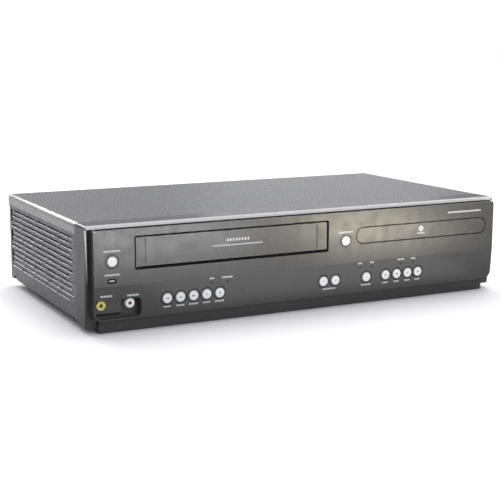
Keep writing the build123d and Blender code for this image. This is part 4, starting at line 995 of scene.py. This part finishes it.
@dataclass(frozen=True)
class SymbolOutlines:
    """Outlines of the key symbols, in metres about the key's middle."""

    half: float = 0.8 * MM
    width: float = 1.15 * MM
    bar_width: float = 0.35 * MM

    def of(self, symbol: Symbol) -> list[list[Point]]:
        """Return a symbol's outlines.

        Args:
            symbol: Which symbol.

        Returns:
            Closed outlines.
        """
        half, width, thin = self.half, self.width, self.bar_width
        square = bar(-half, half, -half, half)
        flat = [(-half, 0.0), (half, 0.0), (0.0, half * 1.3)]
        shapes: dict[Symbol, list[list[Point]]] = {
            Symbol.REWIND: [triangle(0.0, half, -width), triangle(width, half, -width)],
            Symbol.FORWARD: [triangle(-width, half, width), triangle(0.0, half, width)],
            Symbol.STOP_EJECT: [
                bar(-2.1 * half, -0.5 * half, -half * 0.8, half * 0.8),
                [(0.4 * half, -0.3 * half), (2.2 * half, -0.3 * half), (1.3 * half, 0.8 * half)],
                bar(0.4 * half, 2.2 * half, -0.9 * half, -0.55 * half),
            ],
            Symbol.PLAY: [triangle(-width / 2, half, width * 1.1)],
            Symbol.RECORD: [circle(half)],
            Symbol.PREVIOUS: [
                bar(-width - thin, -width, -half, half),
                triangle(0.0, half, -width),
                triangle(width, half, -width),
            ],
            Symbol.STOP: [square],
            Symbol.NEXT: [
                bar(width, width + thin, -half, half),
                triangle(-width, half, width),
                triangle(0.0, half, width),
            ],
            Symbol.DOWN: [[(0.0, -half * 0.7), (half, half * 0.6), (-half, half * 0.6)]],
            Symbol.UP: [[(-half, -half * 0.6), (half, -half * 0.6), (0.0, half * 0.7)]],
            Symbol.EJECT: [flat, bar(-half, half, -half * 0.8, -half * 0.35)],
        }
        return shapes[symbol]


@dataclass(frozen=True)
class KeySymbols:
    """Dark symbols printed on the button caps."""

    proud: float = 0.012 * MM
    ink: float = 0.01 * MM
    outlines: SymbolOutlines = SymbolOutlines()
    marks: tuple[tuple[str, Symbol], ...] = (
        ("rewind_button", Symbol.REWIND),
        ("forward_button", Symbol.FORWARD),
        ("stop_eject_button", Symbol.STOP_EJECT),
        ("play_button", Symbol.PLAY),
        ("record_button", Symbol.RECORD),
        ("skip_back_button", Symbol.PREVIOUS),
        ("disc_stop_button", Symbol.STOP),
        ("disc_play_button", Symbol.PLAY),
        ("skip_forward_button", Symbol.NEXT),
        ("channel_down_button", Symbol.DOWN),
        ("channel_up_button", Symbol.UP),
        ("open_close_button", Symbol.EJECT),
    )

    def make(self, body_of: dict[str, str], finishes: Finishes) -> None:
        """Print every key.

        Args:
            body_of: Body of each node.
            finishes: The finishes.
        """
        for node, symbol in self.marks:
            low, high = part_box(node)
            centre = (low + high) / 2
            plane = front_plane(centre.x, low.y - self.proud + self.ink, centre.z)
            maker = MeshMaker(f"{node}_symbol")
            for outline in self.outlines.of(symbol):
                maker.plate(outline, plane, self.ink)
            maker.carry(finishes["print_dark"], body_of[node])


def button_nodes() -> list[str]:
    """Return the names of the push buttons' nodes."""
    return [node for node, _ in KeySymbols.marks] + ["power_button", "source_button"]


@dataclass(frozen=True)
class PanelShape:
    """The raised panel's face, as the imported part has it."""

    face_y: float = -124.2 * MM
    crease_z: float = 42.8 * MM
    low_z: float = 12.3 * MM
    lean: float = 2.0 * MM

    @property
    def lean_angle(self) -> float:
        """Return how far the lower face leans, in degrees."""
        return math.degrees(math.atan(self.lean / (self.crease_z - self.low_z)))

    def plane(self, x: float, z: float, proud: float) -> Matrix:
        """Return a plane on the face.

        Args:
            x: Its middle.
            z: Its middle.
            proud: Distance before the face.

        Returns:
            Matrix from plane to frame.
        """
        drop = max(0.0, self.crease_z - z)
        y = self.face_y + self.lean * drop / (self.crease_z - self.low_z)
        return front_plane(x, y - proud, z, self.lean_angle if drop > 0 else 0.0)


@dataclass(frozen=True)
class PanelPrint:
    """Rows of short pale blocks in the places of the panel's labels."""

    panel: PanelShape = PanelShape()
    proud: float = 0.01 * MM
    ink: float = 0.01 * MM
    line: float = 1.6 * MM
    letter: float = 0.9 * MM
    space: float = 0.6 * MM
    # node that the label belongs to, the row's width, its height over the node's middle, in mm
    labels: tuple[tuple[str, float, float], ...] = (
        ("rewind_button", 6.5, -7.6),
        ("forward_button", 7.5, -7.6),
        ("stop_eject_button", 8.6, -7.6),
        ("play_button", 6.6, -7.6),
        ("record_button", 8.6, -7.6),
        ("source_button", 10.5, -7.6),
        ("skip_back_button", 5.8, -7.6),
        ("disc_stop_button", 5.8, -7.6),
        ("disc_play_button", 5.8, -7.6),
        ("skip_forward_button", 5.8, -7.6),
        ("open_close_button", 15.0, 8.2),
        ("power_button", 15.0, 9.0),
        ("power_lens", 13.0, 5.4),
    )
    light_z: float = 37.2 * MM
    light_x: tuple[float, ...] = (-101.9, -86.6, 54.3, 67.8, 101.1, 115.6)
    light_widths: tuple[float, ...] = (4.0, 10.0, 4.0, 4.0, 7.4, 5.0)
    light_rise: float = 3.9 * MM
    corner_label: tuple[float, float, float] = (176.0 * MM, 83.4 * MM, 40.0 * MM)
    socket_labels: tuple[tuple[float, float, float], ...] = ((-201.5, 34.4, 10.5), (-177.0, 33.4, 10.5))
    channel_drop: float = 2.0 * MM
    channel_width: float = 14.0 * MM

    def make(self, finishes: Finishes) -> None:
        """Print the panel.

        Args:
            finishes: The finishes.
        """
        maker = MeshMaker("panel_print")
        for node, width, rise in self.labels:
            low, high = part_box(node)
            self.add_bar(maker, (low.x + high.x) / 2, (low.z + high.z) / 2 + rise * MM, width * MM)
        for x, width in zip(self.light_x, self.light_widths):
            self.add_bar(maker, x * MM, self.light_z + self.light_rise, width * MM)
        for x, z, width in self.socket_labels:
            self.add_bar(maker, x * MM, z * MM, width * MM)
        channel = [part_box(f"channel_{side}_button") for side in ("down", "up")]
        middle = sum((low.x + high.x) / 2 for low, high in channel) / 2
        self.add_bar(maker, middle, channel[0][0].z - self.channel_drop, self.channel_width)
        self.add_bar(maker, *self.corner_label)
        maker.carry(finishes["print_white"], "player")

    def add_bar(self, maker: MeshMaker, x: float, z: float, width: float) -> None:
        """Add one row of blocks.

        Args:
            maker: Mesh that takes it.
            x: Its middle.
            z: Its middle.
            width: Its width.
        """
        half = self.line / 2
        count = max(2, round((width + self.space) / (self.letter + self.space)))
        pitch = (width + self.space) / count
        for index in range(count):
            start = index * pitch - width / 2
            outline = bar(start, start + pitch - self.space, -half, half)
            maker.plate(outline, self.panel.plane(x, z, self.proud), self.ink)


@dataclass(frozen=True)
class MovingPrint:
    """Generic marks on the flap and on the tray's front: rows of blocks and a disc."""

    proud: float = 0.02 * MM
    ink: float = 0.01 * MM
    # height above the piece's middle, row's width, blocks' height and width, space between blocks
    flap_rows: tuple[tuple[float, float, float, float, float], ...] = (
        (1.8, 21.0, 2.4, 1.5, 1.5),
        (-2.8, 50.0, 1.1, 0.9, 0.6),
    )
    flap_shift: float = 2.0 * MM
    disc_rise: float = 1.8 * MM
    disc_shift: float = -2.0 * MM
    disc_radius: float = 2.6 * MM
    disc_hole: float = 0.8 * MM
    tray_rows: tuple[tuple[float, float, float, float, float], ...] = ((-2.6, 9.0, 1.0, 1.0, 0.5),)

    def make(self, body_of: dict[str, str], finishes: Finishes) -> None:
        """Print both pieces.

        Args:
            body_of: Body of each node.
            finishes: The finishes.
        """
        for node, rows, shift in (
            ("cassette_door", self.flap_rows, self.flap_shift),
            ("tray_front", self.tray_rows, self.disc_shift),
        ):
            low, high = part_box(node)
            middle = (low + high) / 2
            plane = front_plane(middle.x + shift, low.y - self.proud, middle.z)
            maker = MeshMaker(f"{node}_print")
            for rise, width, height, block, space in rows:
                base = (rise - height / 2) * MM
                for index in range(round((width + space) / (block + space))):
                    start = (index * (block + space) - width / 2) * MM
                    outline = bar(start, start + block * MM, base, base + height * MM)
                    maker.plate(outline, plane, self.ink)
            if node == "tray_front":
                outer, inner = (circle(size, rise=self.disc_rise) for size in (self.disc_radius, self.disc_hole))
                maker.frame(outer, inner, plane, self.ink)
            maker.carry(finishes["print_white"], body_of[node])


@dataclass(frozen=True)
class ShadowGaps:
    """Dark lines where the panel's openings, keys and upper channel swallow the light."""

    panel: PanelShape = PanelShape()
    proud: float = 0.008 * MM
    ink: float = 0.006 * MM
    key_gap: float = 0.1 * MM
    key_line: float = 0.55 * MM
    key_steps: int = 32
    # growth beyond the flap to the left, right, below and above
    flap_line: tuple[float, float, float, float] = (0.7, 1.2, 1.3, 0.8)
    flap_corner: float = 1.6 * MM
    flap_inner_corner: float = 0.3 * MM
    tray_line: float = 0.6 * MM
    tray_steps: int = 12
    lens_line: float = 0.9 * MM
    lens: Point = (6.6 * MM, 2.6 * MM)
    flap: tuple[Point, Point] = ((-174.5 * MM, 56.6 * MM), (17.9 * MM, 84.3 * MM))
    mark: Point = (4.4 * MM, 0.9 * MM)
    channel: tuple[float, float] = (-121.2 * MM, -115.02 * MM)
    channel_half: float = 209.0 * MM
    channel_z: float = 91.3 * MM

    def make(self, finishes: Finishes) -> None:
        """Draw the lines.

        Args:
            finishes: The finishes.
        """
        maker = MeshMaker("shadow_gaps")
        for node in button_nodes():
            low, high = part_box(node)
            radius = (high.x - low.x) / 2 + self.key_gap
            plane = self.panel.plane((low.x + high.x) / 2, (low.z + high.z) / 2, self.proud)
            outer, inner = (circle(size, self.key_steps) for size in (radius + self.key_line, radius))
            maker.frame(outer, inner, plane, self.ink)
        face = front_plane(0.0, self.panel.face_y - self.proud, 0.0)
        low, high = self.flap
        left, right, below, above = (line * MM for line in self.flap_line)
        inner = rounded(low, high, self.flap_inner_corner)
        outer = rounded((low[0] - left, low[1] - below), (high[0] + right, high[1] + above), self.flap_corner)
        maker.frame(outer, inner, face, self.ink)
        low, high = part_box("tray_front")
        self.surround(
            maker, face, (low.x, low.z), (high.x, high.z), self.key_gap, self.tray_line, self.tray_steps
        )
        low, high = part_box("power_lens")
        middle = (low + high) / 2
        plane = front_plane(middle.x, self.panel.face_y - self.proud, middle.z)
        width, height = self.lens
        self.surround(maker, plane, (-width / 2, -height / 2), (width / 2, height / 2), 0.0, self.lens_line)
        top = Matrix.Translation((0.0, 0.0, self.channel_z + self.proud))
        maker.plate(bar(-self.channel_half, self.channel_half, *self.channel), top, self.ink)
        # the dark lines are painted shade
        maker.carry(finishes["gap"], "player")
        mark = MeshMaker("power_mark")
        width, height = self.mark
        plane = front_plane(middle.x, low.y - self.proud, middle.z)
        mark.plate(bar(-width / 2, width / 2, -height / 2, height / 2), plane, self.ink)
        mark.carry(finishes["print_white"], "player")

    def surround(
        self, maker: MeshMaker, plane: Matrix, low: Point, high: Point, gap: float, line: float, steps: int = 6
    ) -> None:
        """Draw a line round an opening with half-round ends.

        Args:
            maker: Mesh that takes it.
            plane: Matrix from plane to frame.
            low: Lower left corner of the piece in the opening.
            high: Its upper right corner.
            gap: Distance from the piece to the line's inside.
            line: Distance from the piece to the line's outside.
            steps: Steps in each corner.
        """
        radius = (high[1] - low[1]) / 2
        outer, inner = (
            rounded((low[0] - by, low[1] - by), (high[0] + by, high[1] + by), corner, steps)
            for by, corner in ((line, radius + line), (gap, radius))
        )
        maker.frame(outer, inner, plane, self.ink)


@dataclass(frozen=True)
class LouvreLips:
    """Pressed lips along the lower edge of every slot in the cover's sides. Their pale finish is a painted
    highlight on the cover's dark paint, where the lips catch the light.
    """

    rows: int = 12
    group: int = 4
    columns: int = 5
    first_z: float = 79.5 * MM
    pitch: float = 5.13 * MM
    height: float = 2.4 * MM
    length: float = 34.4 * MM
    bridge: float = 3.0 * MM
    start_y: float = -82.0 * MM
    shift: float = 6.0 * MM
    long_shift: float = 10.0 * MM
    side_x: float = 216.7 * MM
    lip: float = 0.75 * MM
    proud: float = 0.6 * MM
    sunk: float = 0.5 * MM
    wall: float = 0.35 * MM
    lift: float = 0.1 * MM
    droop: float = 0.3 * MM
    taper: float = 0.8 * MM

    def make(self, finishes: Finishes) -> None:
        """Build the lips of both sides.

        Args:
            finishes: The finishes.
        """
        for side, name in ((-1.0, "left"), (1.0, "right")):
            maker = MeshMaker(f"louvre_lips_{name}")
            for row in range(self.rows):
                z = self.first_z - row * self.pitch - self.height / 2
                offset = self.shift if row % 2 else 0.0
                if row % self.group == self.group - 1:
                    offset = self.long_shift
                for column in range(self.columns):
                    y = self.start_y + offset + column * (self.length + self.bridge)
                    self.add_lip(maker, side, y, z)
            # the pale lip finish is a painted highlight
            maker.carry(finishes["lip"], "player")

    def add_lip(self, maker: MeshMaker, side: float, y: float, z: float) -> None:
        """Add one lip.

        Args:
            maker: Mesh that takes it.
            side: -1 for the left side, 1 for the right.
            y: Front end of the slot.
            z: Lower edge of the slot.
        """
        inner, outer = self.side_x - self.sunk, self.side_x + self.proud
        section = [
            (inner, z - self.lift),
            (self.side_x, z - self.droop),
            (outer, z + self.lift),
            (outer, z + self.lift + self.wall),
            (inner, z + self.lip),
        ]
        end = y + self.length
        ends = []
        for place, share in ((y, 0.0), (y + self.taper, 1.0), (end - self.taper, 1.0), (end, 0.0)):
            reach = [
                (self.side_x + (x - self.side_x) * (share if x > self.side_x else 1.0), height)
                for x, height in section
            ]
            ends.append([maker.mesh.verts.new((side * x, place, height)) for x, height in reach])
        for first, second in zip(ends, ends[1:]):
            maker.bridge(first, second)
        maker.mesh.faces.new(ends[0][::-1])
        maker.mesh.faces.new(ends[-1])


@dataclass(frozen=True)
class FrameRimHighlight:
    """Painted highlight: a bright line on the frame's front edge, full along the top, tapering down both sides,
    where the dark frame's bevel catches the light.
    """

    front_y: float = -115.0 * MM
    bevel_z: float = 91.6 * MM
    bevel_back: float = 1.76 * MM
    bevel_height: float = 3.4 * MM
    half_width: float = 217.5 * MM
    wall: float = 2.2 * MM
    corner: float = 3.0 * MM
    proud: float = 0.03 * MM
    skin: float = 0.03 * MM
    top_clear: float = 0.08 * MM
    corner_clear: float = 0.15 * MM
    inner_round: float = 0.6 * MM
    corner_steps: int = 4
    # height, and the share of the wall that the line covers there
    taper: tuple[tuple[float, float], ...] = (
        (45.0, 0.03),
        (56.0, 0.20),
        (68.0, 0.38),
        (80.0, 0.55),
        (88.0, 0.75),
        (91.0, 0.94),
    )

    def depth(self, z: float) -> float:
        """Return the depth of the line at a height.

        Args:
            z: Height.

        Returns:
            Its y.
        """
        rise = max(0.0, z - self.bevel_z) / self.bevel_height
        return self.front_y - self.proud + self.bevel_back * rise

    def make(self, finishes: Finishes) -> None:
        """Build the painted highlight line.

        Args:
            finishes: The finishes.
        """
        inner_x = self.half_width - self.wall
        pairs: list[tuple[Point, Point]] = [
            ((inner_x + share * self.wall, height * MM), (inner_x, height * MM)) for height, share in self.taper
        ]
        top = self.bevel_z + self.bevel_height - self.top_clear
        centre = (self.half_width - self.corner, top - self.corner + self.top_clear)
        reach = self.corner - self.corner_clear
        for step in range(1, self.corner_steps + 1):
            turn = math.radians(90.0 * step / self.corner_steps)
            outer = (centre[0] + reach * math.cos(turn), centre[1] + reach * math.sin(turn))
            inner = (
                inner_x - self.inner_round * (1 - math.cos(turn)),
                self.bevel_z - self.inner_round * (1 - math.sin(turn)),
            )
            pairs.append((outer, inner))
        left = [((-x, z), (-u, w)) for (x, z), (u, w) in reversed(pairs)]
        maker = MeshMaker("frame_rim_highlight")
        rows = []
        for pair in pairs + left:
            front, back = (
                [maker.mesh.verts.new((x, self.depth(z) + behind, z)) for x, z in pair]
                for behind in (0.0, self.skin)
            )
            rows.append(front + back[::-1])
        for first, second in zip(rows, rows[1:]):
            maker.bridge(first, second)
        for row in (rows[0], rows[-1]):
            maker.mesh.faces.new(row)
        # pale skin laid on the dark frame: a painted highlight
        maker.carry(finishes["rim"], "player")


@dataclass(frozen=True)
class RearDetails:
    """Coloured rings and gilt sleeves of the rear sockets, and painted shade over the notches along the cover's
    rear edge.
    """

    colours: tuple[str, ...] = ("yellow", "white", "red", "green", "blue")
    pitch: float = 14.0 * MM
    start_x: float = 57.5 * MM
    rows: tuple[float, ...] = (26.0 * MM, 40.0 * MM, 54.0 * MM)
    foot_y: float = 118.85 * MM
    tip_y: float = 125.0 * MM
    ring_outer: float = 4.9 * MM
    ring_inner: float = 4.25 * MM
    ring_depth: float = 1.5 * MM
    barrel_y: float = 120.6 * MM
    barrel_outer: float = 4.24 * MM
    barrel_inner: float = 4.205 * MM
    notch_shade_x: tuple[float, ...] = (-205.0 * MM, 1.3 * MM, 123.8 * MM, 204.7 * MM)
    notch_shade_y: float = 116.2 * MM
    notch_shade_size: Point = (9.0 * MM, 2.2 * MM)
    notch_shade_skin: float = 0.01 * MM
    top_z: float = 95.0 * MM
    steps: int = 32

    def make(self, finishes: Finishes) -> None:
        """Build the rings, the sleeves and the painted notch shade.

        Args:
            finishes: The finishes.
        """
        barrel = (self.barrel_outer, self.barrel_inner)
        sleeves = MeshMaker("rear_sleeves")
        for column, colour in enumerate(self.colours):
            rings = MeshMaker(f"rear_rings_{colour}")
            x = self.start_x + column * self.pitch
            for z in self.rows:
                self.add_ring(rings, (x, self.foot_y, z), (self.ring_outer, self.ring_inner), self.ring_depth)
                self.add_ring(sleeves, (x, self.barrel_y, z), barrel, self.tip_y - self.barrel_y)
            rings.carry(finishes[f"{colour}_ring"], "player")
        sleeves.carry(finishes["brass"], "player")
        # black patches over the cover's rear notches: painted shade where the notches look dark
        notch_shade = MeshMaker("cover_notch_shade")
        width, depth = self.notch_shade_size
        for x in self.notch_shade_x:
            plane = Matrix.Translation((x, self.notch_shade_y, self.top_z))
            notch_shade.plate(bar(-width / 2, width / 2, -depth / 2, depth / 2), plane, self.notch_shade_skin)
        notch_shade.carry(finishes["gap"], "player")

    def add_ring(self, maker: MeshMaker, foot: Sequence[float], radii: Point, depth: float) -> None:
        """Add one ring that stands to the rear.

        Args:
            maker: Mesh that takes it.
            foot: Middle of its front end.
            radii: Outer and inner radius.
            depth: Its depth.
        """
        plane = Matrix.Translation(foot) @ Matrix.Rotation(math.radians(-90.0), 4, "X")
        outer, inner = (circle(radius, self.steps) for radius in radii)
        maker.frame(outer, inner, plane, depth)


@dataclass(frozen=True)
class FrontSockets:
    """Sprung metal sleeves inside the two front phono sockets."""

    outer: float = 1.66 * MM
    inner: float = 1.35 * MM
    back: float = 0.9 * MM
    depth: float = 6.0 * MM
    steps: int = 24
    ring_radius: float = 4.2 * MM
    lead: float = 0.25 * MM
    floor: float = 0.3 * MM

    def make(self, finishes: Finishes) -> None:
        """Build both sleeves.

        Args:
            finishes: The finishes.
        """
        profile = [
            (0.0, self.depth),
            (self.inner, self.depth),
            (self.inner, self.lead),
            ((self.inner + self.outer) / 2, 0.0),
            (self.outer, self.lead),
            (self.outer, self.depth + self.floor),
            (0.0, self.depth + self.floor),
        ]
        for node in ("front_video_jack", "front_audio_jack"):
            low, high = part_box(node)
            centre = Vector((low.x + self.ring_radius, low.y + self.back, (low.z + high.z) / 2))
            maker = MeshMaker(f"{node}_sleeve")
            maker.turned(profile, centre, Vector((0.0, 1.0, 0.0)), self.steps)
            maker.carry(finishes["brass"], "player")


def main() -> None:
    """Build the dressed player in order."""
    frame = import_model()
    finishes = Finishes()
    bodies = frame["record"]["behaviour"]["bodies"]
    body_of = {node: body for body, members in bodies.items() for node in members}
    CarriedParts(frame, finishes).make()
    KeySymbols().make(body_of, finishes)
    PanelPrint().make(finishes)
    MovingPrint().make(body_of, finishes)
    ShadowGaps().make(finishes)
    LouvreLips().make(finishes)
    FrameRimHighlight().make(finishes)
    FrontSockets().make(finishes)
    RearDetails().make(finishes)
    Studio().make()


if __name__ == "__main__":
    main()
